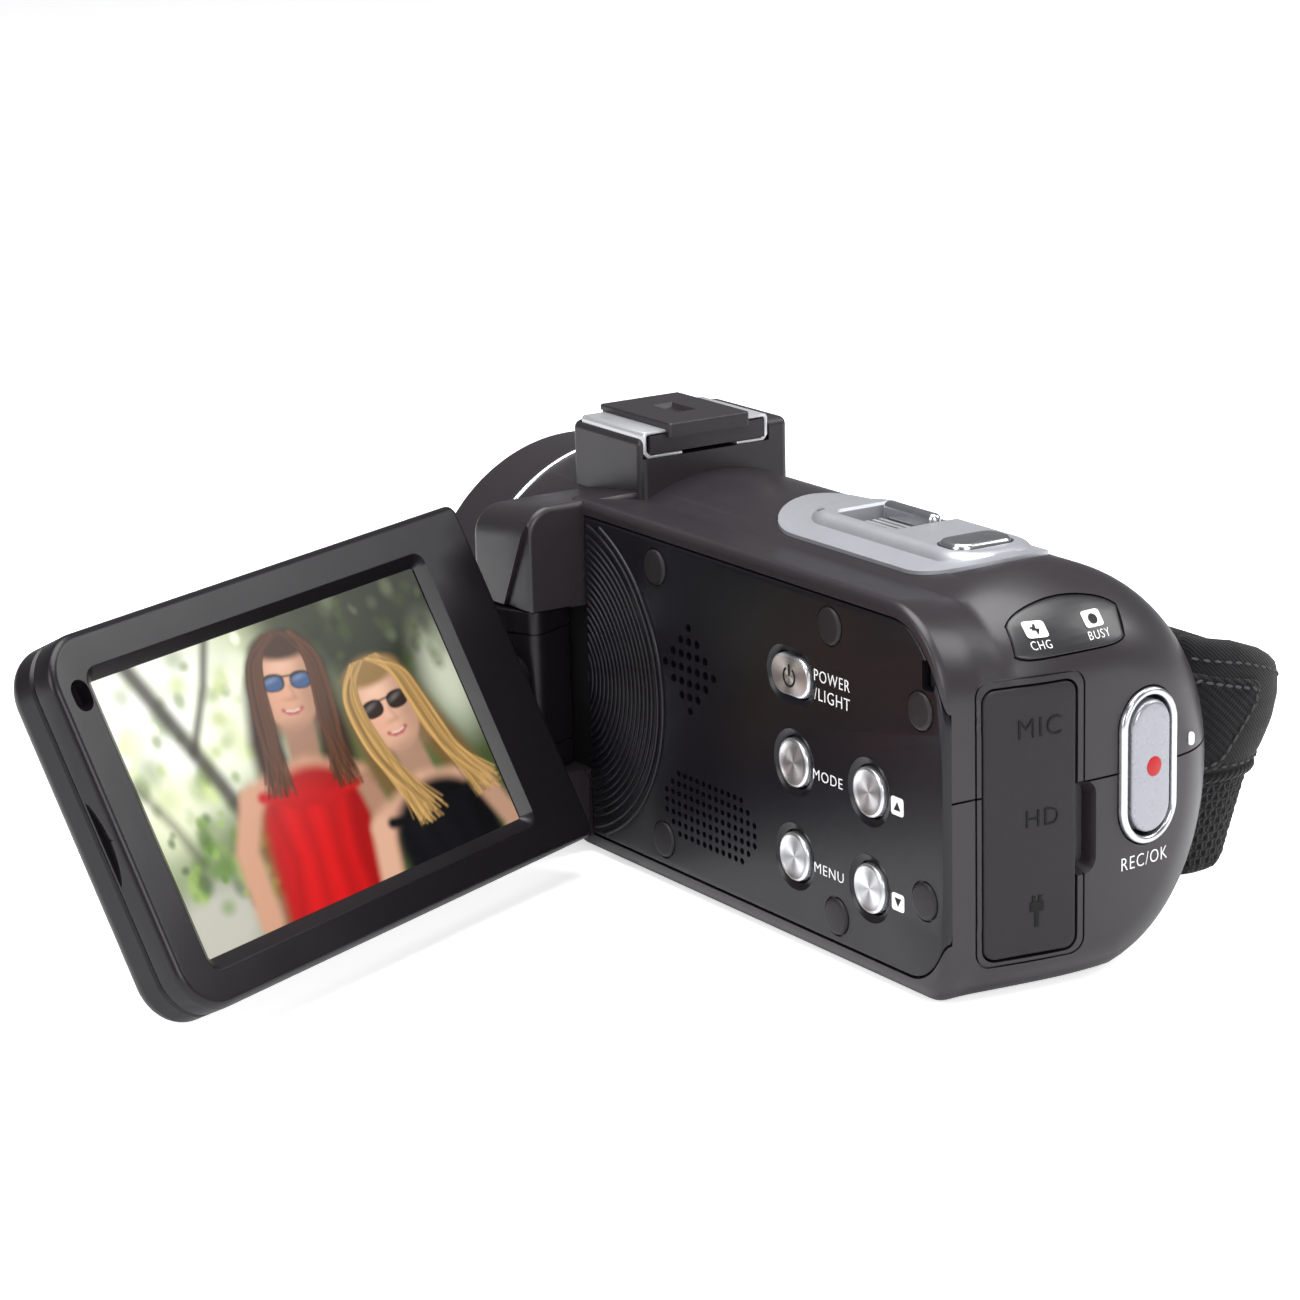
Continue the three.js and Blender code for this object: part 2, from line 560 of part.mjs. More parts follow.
const swing = new THREE.Group();
swing.position.set(hinge.x, hinge.y, hinge.z);
swing.rotation.z = -THREE.MathUtils.degToRad(openAngle);
const tilt = new THREE.Group();
tilt.rotation.y = THREE.MathUtils.degToRad(tiltAngle);
swing.add(piece('hinge_arm', hingeArm(), darkPlastic()), tilt);
const finishes = { lcd_back_shell: blackPlastic(), lcd_bezel: blackPlastic(), display: glass(), lcd_board: board() };
for (const [name, solid] of Object.entries(screenPieces())) tilt.add(piece(name, solid, finishes[name]));
tilt.add(piece('tilt_barrel', tiltBarrel(), darkPlastic()));
camcorder.add(swing);

export default camcorder;
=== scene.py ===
import json
import math
import bmesh
import bpy
import numpy as np
from mathutils import Matrix, Vector
from mathutils.bvhtree import BVHTree

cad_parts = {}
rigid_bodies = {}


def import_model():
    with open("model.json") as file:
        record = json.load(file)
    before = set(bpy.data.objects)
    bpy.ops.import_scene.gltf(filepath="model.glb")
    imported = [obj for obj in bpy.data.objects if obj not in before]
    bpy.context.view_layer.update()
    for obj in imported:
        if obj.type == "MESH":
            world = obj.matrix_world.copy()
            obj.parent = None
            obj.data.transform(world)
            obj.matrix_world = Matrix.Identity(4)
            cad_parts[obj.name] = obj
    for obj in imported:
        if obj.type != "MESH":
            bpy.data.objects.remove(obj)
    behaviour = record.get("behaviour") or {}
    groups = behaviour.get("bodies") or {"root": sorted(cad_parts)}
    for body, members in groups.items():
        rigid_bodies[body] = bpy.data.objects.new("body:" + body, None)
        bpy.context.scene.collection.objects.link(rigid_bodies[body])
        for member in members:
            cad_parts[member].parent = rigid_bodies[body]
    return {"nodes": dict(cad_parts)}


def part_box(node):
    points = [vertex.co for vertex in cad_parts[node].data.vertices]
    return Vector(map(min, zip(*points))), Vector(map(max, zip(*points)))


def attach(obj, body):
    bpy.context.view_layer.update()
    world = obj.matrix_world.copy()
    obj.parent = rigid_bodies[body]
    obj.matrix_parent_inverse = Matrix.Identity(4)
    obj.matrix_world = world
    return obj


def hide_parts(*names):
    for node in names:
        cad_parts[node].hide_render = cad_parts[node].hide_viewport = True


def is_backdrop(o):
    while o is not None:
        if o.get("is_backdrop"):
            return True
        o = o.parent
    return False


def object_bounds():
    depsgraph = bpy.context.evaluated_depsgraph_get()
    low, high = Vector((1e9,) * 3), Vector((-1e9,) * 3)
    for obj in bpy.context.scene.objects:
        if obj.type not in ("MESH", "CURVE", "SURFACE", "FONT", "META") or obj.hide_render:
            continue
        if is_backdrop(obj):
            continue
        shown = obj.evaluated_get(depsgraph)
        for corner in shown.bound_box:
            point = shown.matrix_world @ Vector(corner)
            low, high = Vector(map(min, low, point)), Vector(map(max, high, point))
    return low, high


# All piece sizes are in millimetres; meshes are scaled to metres as they are made
for spare in list(bpy.data.objects):
    bpy.data.objects.remove(spare)
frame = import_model()
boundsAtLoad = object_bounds()
mm = 0.001


def boxOf(node):
    low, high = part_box(node)
    return np.array(low) / mm, np.array(high) / mm


# Geometry helpers
def linked(name, data):
    obj = bpy.data.objects.new(name, data)
    bpy.context.scene.collection.objects.link(obj)
    return obj


def treeOf(obj):
    return BVHTree.FromObject(obj, bpy.context.evaluated_depsgraph_get())


def addMesh(name, points, faces, matrix=None):
    mesh = bpy.data.meshes.new(name)
    mesh.from_pydata([tuple(float(c) for c in p) for p in points], [], faces)
    if matrix is not None:
        mesh.transform(matrix)
    mesh.transform(Matrix.Scale(mm, 4))
    tidyNormals(mesh)
    return linked(name, mesh)


def tidyNormals(mesh):
    work = bmesh.new()
    work.from_mesh(mesh)
    bmesh.ops.remove_doubles(work, verts=work.verts, dist=1e-7)
    bmesh.ops.recalc_face_normals(work, faces=work.faces)
    work.to_mesh(mesh)
    work.free()
    mesh.update()


def arc(cu, cv, r, start, end, steps):
    t = np.linspace(start, end, steps + 1)
    return np.stack([cu + r * np.cos(t), cv + r * np.sin(t)], axis=1)


def roundRect(u0, u1, v0, v1, r, inset=0.0, steps=8):
    u0, u1, v0, v1 = u0 + inset, u1 - inset, v0 + inset, v1 - inset
    r = max(0.04, min(r - inset, (u1 - u0) / 2 - 0.001, (v1 - v0) / 2 - 0.001))
    q = math.pi / 2
    corners = [(u1 - r, v0 + r, -q), (u1 - r, v1 - r, 0), (u0 + r, v1 - r, q), (u0 + r, v0 + r, 2 * q)]
    return np.concatenate([arc(cu, cv, r, a, a + q, steps) for cu, cv, a in corners])


def lift(outline, axis, height):
    u, v = outline[:, 0], outline[:, 1]
    w = np.full(len(u), float(height))
    order = {"x": (w, u, v), "y": (u, w, v), "z": (u, v, w)}[axis]
    return np.stack(order, axis=1)


def loft(name, rings, closed=False, matrix=None):
    count = len(rings[0])
    points = np.concatenate(rings)
    total = len(rings)
    faces = []
    for k in range(total if closed else total - 1):
        a, b = k * count, (k + 1) % total * count
        faces += [(a + i, a + (i + 1) % count, b + (i + 1) % count, b + i) for i in range(count)]
    if not closed:
        faces += [tuple(range(count))[::-1], tuple(range((total - 1) * count, total * count))]
    return addMesh(name, points, faces, matrix)


# Coordinates for a look, one for each vertex, in the order in which the rings were lofted
def mark(obj, name, rows):
    layer = obj.data.attributes.new(name, "FLOAT_VECTOR", "POINT")
    layer.data.foreach_set("vector", np.concatenate(rows).astype(np.float32).ravel())


# A rounded block: outline(inset) swept along an axis, with its two rims rolled over
def rolled(name, outline, axis, low, high, rimLow=0.0, rimHigh=0.3, steps=4, matrix=None, dome=0.0):
    rings = []
    for rim, level, side in ((rimLow, low, 1), (rimHigh, high, -1)):
        quarter = [lift(outline(rim * (1 - math.sin(t))), axis, level + side * rim * (1 - math.cos(t)))
                   for t in np.linspace(0, math.pi / 2, steps + 1)] if rim else [lift(outline(0), axis,
                       level)]
        rings += quarter if side == 1 else quarter[::-1]
    if dome:
        base = rings[-1]
        centre = base.mean(axis=0)
        column = "xyz".index(axis)
        for s in (0.85, 0.65, 0.4, 0.15):
            ring = centre + (base - centre) * s
            ring[:, column] = high + dome * (1 - s * s)
            rings.append(ring)
    return loft(name, rings, matrix=matrix)


def lathe(name, profile, axis, cu, cv, sides=96, matrix=None):
    t = np.linspace(0, 2 * math.pi, sides, endpoint=False)
    circle = np.stack([np.cos(t), np.sin(t)], axis=1)
    rings = [lift(circle * max(r, 0.002) + (cu, cv), axis, h) for r, h in profile]
    return loft(name, rings, closed=profile[0] == profile[-1], matrix=matrix)


def cuboid(name, x0, x1, y0, y1, z0, z1, matrix=None):
    points = [(x, y, z) for x in (x0, x1) for y in (y0, y1) for z in (z0, z1)]
    faces = [(0, 1, 3, 2), (4, 6, 7, 5), (0, 4, 5, 1), (2, 3, 7, 6), (0, 2, 6, 4), (1, 5, 7, 3)]
    return addMesh(name, points, faces, matrix)


def bake(obj):
    graph = bpy.context.evaluated_depsgraph_get()
    graph.update()
    mesh = bpy.data.meshes.new_from_object(obj.evaluated_get(graph), preserve_all_data_layers=True,
        depsgraph=graph)
    obj.modifiers.clear()
    obj.data = mesh
    return obj


def combine(obj, operation, *tools):
    for tool in tools:
        step = obj.modifiers.new("combine", "BOOLEAN")
        step.operation = operation
        step.solver = "EXACT"
        step.object = tool
        bake(obj)
        bpy.data.objects.remove(tool)
    return obj


def cut(obj, *tools):
    return combine(obj, "DIFFERENCE", *tools)


def soften(obj, angle=32.0, weighted=False):
    mesh = obj.data
    mesh.shade_smooth()
    mesh.set_sharp_from_angle(angle=math.radians(angle))
    if weighted:
        step = obj.modifiers.new("even", "WEIGHTED_NORMAL")
        step.keep_sharp = True
        bake(obj)
    return obj


def dress(obj, look, body="camera_body", nodes=(), slotName=None, angle=32.0, weighted=False):
    soften(obj, angle, weighted)
    obj.data.materials.clear()
    obj.data.materials.append(looks[look])
    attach(obj, body)
    if nodes:
        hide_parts(*nodes)
    return obj


# Shader wires: arithmetic on sockets makes the math nodes
def arithmetic(operation, swapped=False):
    return lambda wire, other: wire.join(operation, other, swapped)


class Wire:
    def __init__(self, tree, socket):
        self.tree, self.socket = tree, socket

    def join(self, operation, other=0.0, swapped=False):
        first, second = (other, self) if swapped else (self, other)
        return self.tree.make("ShaderNodeMath", {0: first, 1: second}, operation=operation)

    __add__, __radd__ = arithmetic("ADD"), arithmetic("ADD", True)
    __sub__, __rsub__ = arithmetic("SUBTRACT"), arithmetic("SUBTRACT", True)
    __mul__, __rmul__ = arithmetic("MULTIPLY"), arithmetic("MULTIPLY", True)
    __truediv__, __pow__ = arithmetic("DIVIDE"), arithmetic("POWER")

    def clamp(self):
        return self.tree.make("ShaderNodeClamp", {0: self})

    def step(self, low, high):
        inputs = {0: self, 1: low, 2: high, 3: 0.0, 4: 1.0}
        return self.tree.make("ShaderNodeMapRange", inputs, interpolation_type="SMOOTHSTEP")


class Maker:
    def __init__(self, tree):
        self.nodes, self.links = tree.nodes, tree.links
        self.nodes.clear()

    def make(self, kind, inputs=None, output=0, **settings):
        node = self.nodes.new(kind)
        for key, value in settings.items():
            setattr(node, key, value)
        for key, value in (inputs or {}).items():
            if isinstance(value, Wire):
                self.links.new(value.socket, node.inputs[key])
            else:
                node.inputs[key].default_value = value
        return Wire(self, node.outputs[output])

    def split(self, vector):
        node = self.nodes.new("ShaderNodeSeparateXYZ")
        self.links.new(vector.socket, node.inputs[0])
        return [Wire(self, node.outputs[k]) for k in range(3)]


class Look(Maker):
    def __init__(self, name):
        self.material = bpy.data.materials.new(name)
        self.material.use_nodes = True
        super().__init__(self.material.node_tree)
        self.place = self.make("ShaderNodeTexCoord", output="Object")

    def noise(self, scale, detail=3.0, stretch=None, rough=0.5):
        where = self.place
        if stretch:
            where = self.make("ShaderNodeMapping", {"Vector": where, "Scale": stretch})
        return self.make("ShaderNodeTexNoise", {"Vector": where, "Scale": scale, "Detail": detail,
            "Roughness": rough})

    def blend(self, factor, first, second):
        inputs = {0: factor, 6: first, 7: second}
        return self.make("ShaderNodeMix", inputs, output=2, data_type="RGBA")

    def bump(self, height, strength, distance=0.00005):
        return self.make("ShaderNodeBump", {"Height": height, "Strength": strength, "Distance": distance})

    def end(self, **inputs):
        shader = self.make("ShaderNodeBsdfPrincipled", {k.replace("_", " "): v
            for k, v in inputs.items()})
        target = self.nodes.new("ShaderNodeOutputMaterial")
        self.links.new(shader.socket, target.inputs[0])
        return self.material


def rgb(value, power=1.0):
    return tuple(c * power for c in value) + (1.0,)


def plastic(name, color, rough, grain=2600.0, strength=0.25, cloud=0.12, coat=0.0, specular=0.5):
    look = Look(name)
    fine = look.noise(grain, 2.0)
    wide = look.noise(45.0, 4.0)
    tint = look.blend(wide, rgb(color, 1 - cloud), rgb(color, 1 + cloud))
    gloss = rough - 0.05 + 0.1 * look.noise(140.0, 3.0)
    normal = look.bump(fine, strength, 0.00003)
    return look.end(Base_Color=tint, Roughness=gloss, Normal=normal, Coat_Weight=coat,
                    Coat_Roughness=0.15, Specular_IOR_Level=specular)


def metal(name, color, rough, stretch=(1, 1, 1), strength=0.15, streak=0.1, metallic=1.0):
    look = Look(name)
    line = look.noise(900.0, 3.0, stretch)
    tint = look.blend(line, rgb(color, 1 - streak), rgb(color, 1 + streak * 0.4))
    gloss = rough - 0.04 + 0.1 * look.noise(400.0, 2.0, stretch)
    return look.end(Base_Color=tint, Roughness=gloss, Metallic=metallic,
        Normal=look.bump(line, strength, 0.00002))


def spunMetalPaintedSheen(name, color):
    look = Look(name)
    disc = look.make("ShaderNodeAttribute", output="Vector", attribute_name="disc")
    u, v, _ = look.split(disc)
    radius = (u * u + v * v).join("SQRT")
    angle = v.join("ARCTAN2", u)
    # Painted highlight: two lobes over the angle around each key's centre brighten the base colour where a
    # turned key's reflection would fall; the faint rings are the real turning marks
    paintedHighlightLobe = ((angle - 2.45).join("COSINE").join("ABSOLUTE")) ** 5.0
    second = ((angle - 0.75).join("COSINE").join("ABSOLUTE")) ** 14.0
    rings = (radius * 150.0).join("SINE")
    glow = (paintedHighlightLobe + second * 0.45 + rings * 0.03).clamp()
    tint = look.blend(glow, rgb(color, 0.34), rgb(color, 1.25))
    return look.end(Base_Color=tint, Metallic=0.85, Roughness=0.3 + 0.04 * rings,
        Normal=look.bump(rings, 0.3, 0.00002))


def fabricLook(name, color, pitch, depth, mesh=False):
    look = Look(name)
    cell = look.make("ShaderNodeAttribute", output="Vector", attribute_name="weave")
    u, v = [axis * (math.pi / pitch) for axis in look.split(cell)[:2]]
    if mesh:
        height = (u.join("SINE") * v.join("SINE")).join("ABSOLUTE") ** 0.7
        height = 1.0 - height.step(0.35, 0.75)
    else:
        twill = (u + v).join("SINE") * 0.5 + 0.5
        height = twill * 0.7 + ((u - v).join("SINE").join("ABSOLUTE")) * 0.3
    fuzz = look.noise(5200.0, 2.0)
    # Painted shade: the weave's low parts and the mesh openings are darker and the raised threads lighter, as
    # light falls on them; the fuzz noise is real fibre tone
    paintedWeaveShadeAndFuzz = (height * 0.8 + fuzz * 0.25).clamp()
    tint = look.blend(paintedWeaveShadeAndFuzz, rgb(color, 0.25 if mesh else 0.55), rgb(color, 1.5))
    normal = look.bump(height + fuzz * 0.25, 0.9, depth)
    return look.end(Base_Color=tint, Roughness=0.88, Normal=normal, Specular_IOR_Level=0.15,
                    Sheen_Weight=0.08, Sheen_Roughness=0.5)


def glassLook(name, color, rough, coat):
    look = Look(name)
    dust = look.noise(700.0, 2.0)
    gloss = rough + 0.03 * dust
    return look.end(Base_Color=look.blend(dust, rgb(color), rgb(color, 1.3)), Roughness=gloss,
                    Coat_Weight=coat, Coat_Roughness=0.02, Normal=look.bump(dust, 0.02, 0.00001))


def lensLook(name, axisZ):
    look = Look(name)
    x, _, z = look.split(look.place)
    radius = ((x * x + (z - axisZ * mm) * (z - axisZ * mm)).join("SQRT")) / mm
    ridge = (radius * 2.4).join("SINE") * 0.5 + 0.5
    barrel = radius.step(9.0, 9.6)
    iris = radius.step(4.2, 4.5)
    # Painted reflection: between radius 4.5 and 9 the base colour is purple, standing in for the coating's
    # reflection; the centre stays dark
    glow = look.blend(iris, rgb((0.004, 0.004, 0.007)), rgb((0.030, 0.016, 0.050)))
    edge = look.blend(ridge, rgb((0.004, 0.004, 0.005)), rgb((0.020, 0.022, 0.028)))
    dust = look.noise(500.0, 2.0)
    return look.end(Base_Color=look.blend(barrel, glow, edge), Roughness=0.05 + 0.03 * dust,
                    Coat_Weight=0.6,
                    Coat_Roughness=0.02, Coat_Tint=(0.55, 0.45, 0.95, 1),
                    Normal=look.bump(dust, 0.01, 0.00001))


looks = {
    "body": plastic("bodyPlastic", (0.0125, 0.0096, 0.0124), 0.40, coat=0.04, specular=0.40),
    "panel": plastic("panelPlastic", (0.0048, 0.0042, 0.0066), 0.32, coat=0.05, specular=0.26),
    "bezel": plastic("bezelPlastic", (0.0056, 0.0044, 0.0056), 0.34, coat=0.05, specular=0.24),
    "rubber": plastic("rubberSkin", (0.0090, 0.0072, 0.0088), 0.50, grain=3600.0, strength=0.4,
        specular=0.28),
    "silver": metal("silverPaint", (0.345, 0.355, 0.38), 0.40, strength=0.08, streak=0.06, metallic=0.6),
    "key": metal("keyPaint", (0.27, 0.275, 0.30), 0.26, strength=0.05, streak=0.05, metallic=0.55),
    "steel": metal("brushedSteel", (0.66, 0.67, 0.69), 0.32, stretch=(6, 0.25, 6), strength=0.35,
        streak=0.25, metallic=0.75),
    "chrome": metal("chromeTrim", (0.50, 0.51, 0.53), 0.24, strength=0.05, streak=0.04),
    "spunPaintedSheen": spunMetalPaintedSheen("spunMetalPaintedSheen", (0.72, 0.73, 0.76)),
    "print": plastic("whitePrint", (0.70, 0.70, 0.71), 0.5, strength=0.1, cloud=0.04),
    # Dark ink for print marks; the same look colours the painted shade sheets behind the side perforations and
    # in the hinge pocket
    "inkAndShade": plastic("darkInkAndShade", (0.006, 0.006, 0.007), 0.6, specular=0.25),
    "emboss": plastic("embossedRubber", (0.003, 0.003, 0.003), 0.6, specular=0.2),
    "red": plastic("redMark", (0.33, 0.006, 0.010), 0.42, strength=0.1, specular=0.3),
    "smoke": glassLook("smokedWindow", (0.005, 0.0045, 0.006), 0.36, coat=0.04),
    "lens": lensLook("coatedLens", 26.0),
    "board": plastic("boardGreen", (0.02, 0.11, 0.05), 0.45, coat=0.4),
    "weave": fabricLook("paddedWeave", (0.0048, 0.0042, 0.0050), 0.30, 0.00010),
    "spacer": fabricLook("spacerMesh", (0.0062, 0.0055, 0.0064), 1.15, 0.0006, mesh=True),
    "webbing": fabricLook("webbingWeave", (0.0040, 0.0035, 0.0042), 0.62, 0.00016),
    "thread": plastic("threadBlack", (0.022, 0.021, 0.023), 0.7),
}
print("looks made", len(looks))

# Body: section and rounded rear, the same plan as the solid casings but finer
body = dict(r=26.5, axisZ=26.0, sideX=22.0, ridgeZ=51.0, valleyX=11.8, frontY=-47.8, rearY=61.7,
            bow=130.0, splitZ=27.2, scaleUp=0.53, scaleDown=0.77, scaleRight=0.62, scaleLeft=0.95)
turnAngles = [-180, -135, -90, -50, -30, 25, 46, 90, 135, 180]
turnStarts = [49, 53, 56, 54, 58.3, 58.3, 48, 46, 46.5, 49]


def lensTurned(name, profile, sides=160):
    return lathe(name, profile, "y", 0, body["axisZ"], sides)


def bodySection(inset=0.0):
    r, left, cz = body["r"] - inset, body["sideX"] - inset, body["axisZ"]
    low = math.pi + math.asin((cz - inset) / r)
    high = math.acos(body["valleyX"] / r)
    tube = arc(0, cz, r, high, low, 104)
    floor = np.linspace(tube[-1], (left - 3, inset), 14)[1:-1]
    foot = arc(left - 3, inset + 3, 3, -math.pi / 2, 0, 8)
    side = np.linspace(foot[-1], (left, body["ridgeZ"] - inset - 1.2), 22)[1:-1]
    crest = arc(left - 1.2, body["ridgeZ"] - inset - 1.2, 1.2, 0, math.pi / 2, 6)
    shelf = np.linspace(crest[-1], tube[0], 10)[1:-1]
    return np.concatenate([tube, floor, foot, side, crest, shelf])


def rearFace(x):
    flat = body["rearY"] - 17.3 ** 2 / body["bow"] - 0.03 * (x - 16.3)
    return np.where(x > 16.3, flat, body["rearY"] - (x + 1) ** 2 / body["bow"])


def turnStart(x, z):
    angle = np.degrees(np.arctan2(z - body["axisZ"], x))
    spread = [np.interp(angle + d, turnAngles, turnStarts, period=360) for d in (-9, -6, -3, 0, 3, 6, 9)]
    return np.mean(spread, axis=0)


def bodySolid(name, inset=0.0, frontY=-26.0, steps=20):
    outline = bodySection(inset)
    x, z, cz = outline[:, 0], outline[:, 1], body["axisZ"]
    start = turnStart(x, z) - inset
    rings = [np.stack([x, np.full(len(x), y), z], axis=1) for y in (frontY, 10.0)]
    for t in np.linspace(0, math.pi / 2, steps + 1):
        fall = 1 - math.cos(t)
        kx = np.where(x < 0, 1 - (1 - body["scaleRight"]) * fall, 1 - (1 - body["scaleLeft"]) * fall ** 3)
        kz = 1 - (1 - np.where(z > cz, body["scaleUp"], body["scaleDown"])) * fall
        y = start + (rearFace(x * kx) - inset - start) * math.sin(t)
        rings.append(np.stack([x * kx, y, cz + (z - cz) * kz], axis=1))
    rim = rings[-1]
    for s in (0.93, 0.82, 0.7, 0.55, 0.4, 0.22, 0.05):
        ring = rim.copy()
        ring[:, 0] = 2 + (rim[:, 0] - 2) * s
        ring[:, 2] = 22 + (rim[:, 2] - 22) * s
        ring[:, 1] = rearFace(ring[:, 0]) - inset
        rings.append(ring)
    return loft(name, rings)


hump = dict(frontY=-38.0, backY=-23.0, outerX=31.0, topZ=51.0, lowZ=2.0, r=4.2,
    frontRoll=1.6, backRoll=1.0)


def humpSolid(name, inset=0.0):
    rings = []
    for side, roll in ((1, hump["frontRoll"]), (-1, hump["backRoll"])):
        quarter = []
        for t in np.linspace(0, math.pi / 2, 6):
            edge = hump["frontY"] + inset if side == 1 else hump["backY"] - inset
            y = edge + side * roll * (1 - math.cos(t))
            top = hump["topZ"] - 2 * (hump["backY"] - y) / 15
            push = inset + roll * (1 - math.sin(t))
            outline = roundRect(2, hump["outerX"], hump["lowZ"], top, hump["r"], push)
            outline[:, 0] = np.where(outline[:, 0] < 10, 2, outline[:, 0])
            quarter.append(lift(outline, "y", y))
        rings += quarter if side == 1 else quarter[::-1]
    return loft(name, rings)


def wholeBody(name, inset=0.0):
    solid = bodySolid(name, inset)
    tubeEnd = [(0, body["frontY"]), (body["r"] - inset, body["frontY"]),
        (body["r"] - inset, -20), (0, -20)]
    tube = lensTurned("tubeTool", tubeEnd)
    combine(solid, "UNION", tube, humpSolid("humpTool", inset))
    floor = cuboid("floorTool", -60, 60, -90, 90, -20, inset)
    return cut(solid, floor)


doorLow, doorHigh = boxOf("battery_door")
recordSpot = dict(x=-9.0, z=27.2, half=5.05, tall=10.3)
panelShape = dict(frontY=-22.2, rearY=59.7, lowZ=3.1, topZ=48.9, lowR=(7.5, 9.5), highR=(10.5, 16.0))


def ovalCorner(cu, cv, ru, rv, start, steps):
    t = np.linspace(start, start + math.pi / 2, steps + 1)
    return np.stack([cu + ru * np.cos(t), cv + rv * np.sin(t)], axis=1)


def panelOutline(inset=0.0):
    y0, y1 = panelShape["frontY"] + inset, panelShape["rearY"] - inset
    z0, z1 = panelShape["lowZ"] + inset, panelShape["topZ"] - inset
    lowY, lowZ, highY, highZ = [r - inset for r in panelShape["lowR"] + panelShape["highR"]]
    return np.concatenate([
        ovalCorner(y0 + 0.3, z0 + 0.3, 0.3, 0.3, -math.pi, 3),
        ovalCorner(y1 - lowY, z0 + lowZ, lowY, lowZ, -math.pi / 2, 14),
        ovalCorner(y1 - highY, z1 - highZ, highY, highZ, 0, 20),
        ovalCorner(y0 + 0.3, z1 - 0.3, 0.3, 0.3, math.pi / 2, 3)])


def stadium(inset=0.0):
    half, tall = recordSpot["half"], recordSpot["tall"]
    x, z = recordSpot["x"], recordSpot["z"]
    return roundRect(x - half, x + half, z - tall, z + tall, half, inset, 16)


def windowOutline(inset=0.0):
    t = np.linspace(0, 1, 25)
    upperX, upperZ = 9.9 - 16.9 * t, 48.1 + 0.3 * t + 1.5 * np.sin(math.pi * t)
    lowerX, lowerZ = -5.9 + 16.4 * t, 43.75 - 0.3 * t + 0.25 * np.sin(math.pi * t)
    soft = 0.9 * np.exp(-t * 14) + 0.9 * np.exp(-(1 - t) * 14)
    upperZ, lowerZ = upperZ - soft * 0.8, lowerZ + soft * 0.8
    points = np.concatenate([np.stack([upperX, upperZ], axis=1), np.stack([lowerX, lowerZ], axis=1)])
    centre = np.array([2.0, 46.6])
    return centre + (points - centre) * (1 - inset / np.array([8.6, 3.0]))


def plateOutline(inset=0.0):
    return roundRect(-10.3, 10.3, 0.8, 46.2, 10.3, inset, 24)


def rimLevels(rim, low, high, steps):
    turns = np.linspace(math.pi / 2, 0, steps)
    return [(0, low)] + [(rim * (1 - math.sin(t)), high - rim * (1 - math.cos(t))) for t in turns]


def overBase(ring, base, level):
    return np.stack([ring[:, 0], base(ring[:, 0], ring[:, 1]) + level, ring[:, 1]], axis=1)


def rearPlate(name, outline, low, high, rim, base):
    walls = [overBase(outline(inset), base, level) for inset, level in rimLevels(rim, low, high, 4)]
    last = outline(rim)
    centre = last.mean(axis=0)
    faces = [overBase(centre + (last - centre) * s, base, high) for s in np.linspace(0.95, 0.03, 16)]
    bottom = [face + (0, low - high, 0) for face in faces[::-1]]
    return loft(name, bottom + walls + faces)


def rearGroove(name, outline, wide, deep, base):
    corners = ((0, 3), (0, -deep), (wide, -deep), (wide, 3))
    return loft(name, [overBase(outline(inset), base, level) for inset, level in corners], closed=True)


def onRear(x, z):
    return rearFace(x)


def onDome(x, z):
    depth = []
    for px, pz in zip(x, z):
        hit = bodyTree.ray_cast(Vector((px, 90, pz)) * mm, Vector((0, -1, 0)))
        depth.append(hit[0].y / mm)
    return np.array(depth)


shell = wholeBody("casing")
bodyTree = treeOf(shell)
pockets = [
    rolled("panelPocket", lambda i: panelOutline(i - 0.25), "x", 20.6, 30, 0, 0),
    rolled("portPocket", lambda i: roundRect(2.9, 15.9, 5.6, 40.6, 1.6, i - 0.3), "y", 50.2, 70, 0, 0),
    rolled("recordPocket", lambda i: stadium(i - 0.2), "y", 56.5, 70, 0, 0),
    rolled("platePocket", lambda i: plateOutline(i - 0.2), "z", 51.2, 70, 0, 0),
    cuboid("hingePocket", 21.0, 40, -35, -22.4, 12.3, 36.3),
    loft("wedgePocket", [lift(np.array([(-23.6, 48.6), (-29.6, 36.2), (-22, 36.2), (-22, 48.6)]), "x", x)
        for x in (30.45, 33)]),
    cuboid("doorPocket", doorLow[0] - 0.25, doorHigh[0] + 0.25, doorLow[1] - 0.25,
        doorHigh[1] + 0.25, -1, 5.4),
    lathe("tripodPocket", [(0, -1), (5.1, -1), (5.1, 9), (0, 9)], "z", 8, -14, 48),
    lensTurned("barrelPocket", [(0, -50), (13.8, -50), (13.8, -19), (0, -19)], 96),
]
notch = loft("notchPocket", [lift(roundRect(0.5, 4.4, 15.6, 26.4, 1.3, -i), "y", y)
    for i, y in ((0, 59.7), (0.9, 62.0), (0.9, 70))])
portFrame = rearGroove("portFrame", lambda i: roundRect(1.5, 17.1, 4.6, 41.9, 2.2, i, 14),
    0.28, 0.4, onRear)
paneSeat = rearPlate("paneSeat", lambda i: windowOutline(i - 0.22), -0.9, 3.0, 0, onDome)
cut(shell, notch, portFrame, paneSeat)
cut(shell, *pockets)
print("casing cut", len(shell.data.polygons))
rearTree = treeOf(shell)

upper = linked("upperCasing", shell.data.copy())
cut(upper, cuboid("lowerTool", -60, 60, -90, 90, -10, body["splitZ"]))
cut(shell, cuboid("upperTool", -60, 60, -90, 90, body["splitZ"] - 0.28, 80))
shell.name = "lowerCasing"
dress(upper, "body", "camera_body", ["upper_casing"], "body", weighted=True)
dress(shell, "body", "camera_body", ["lower_casing"], "body", weighted=True)
print("casings done")


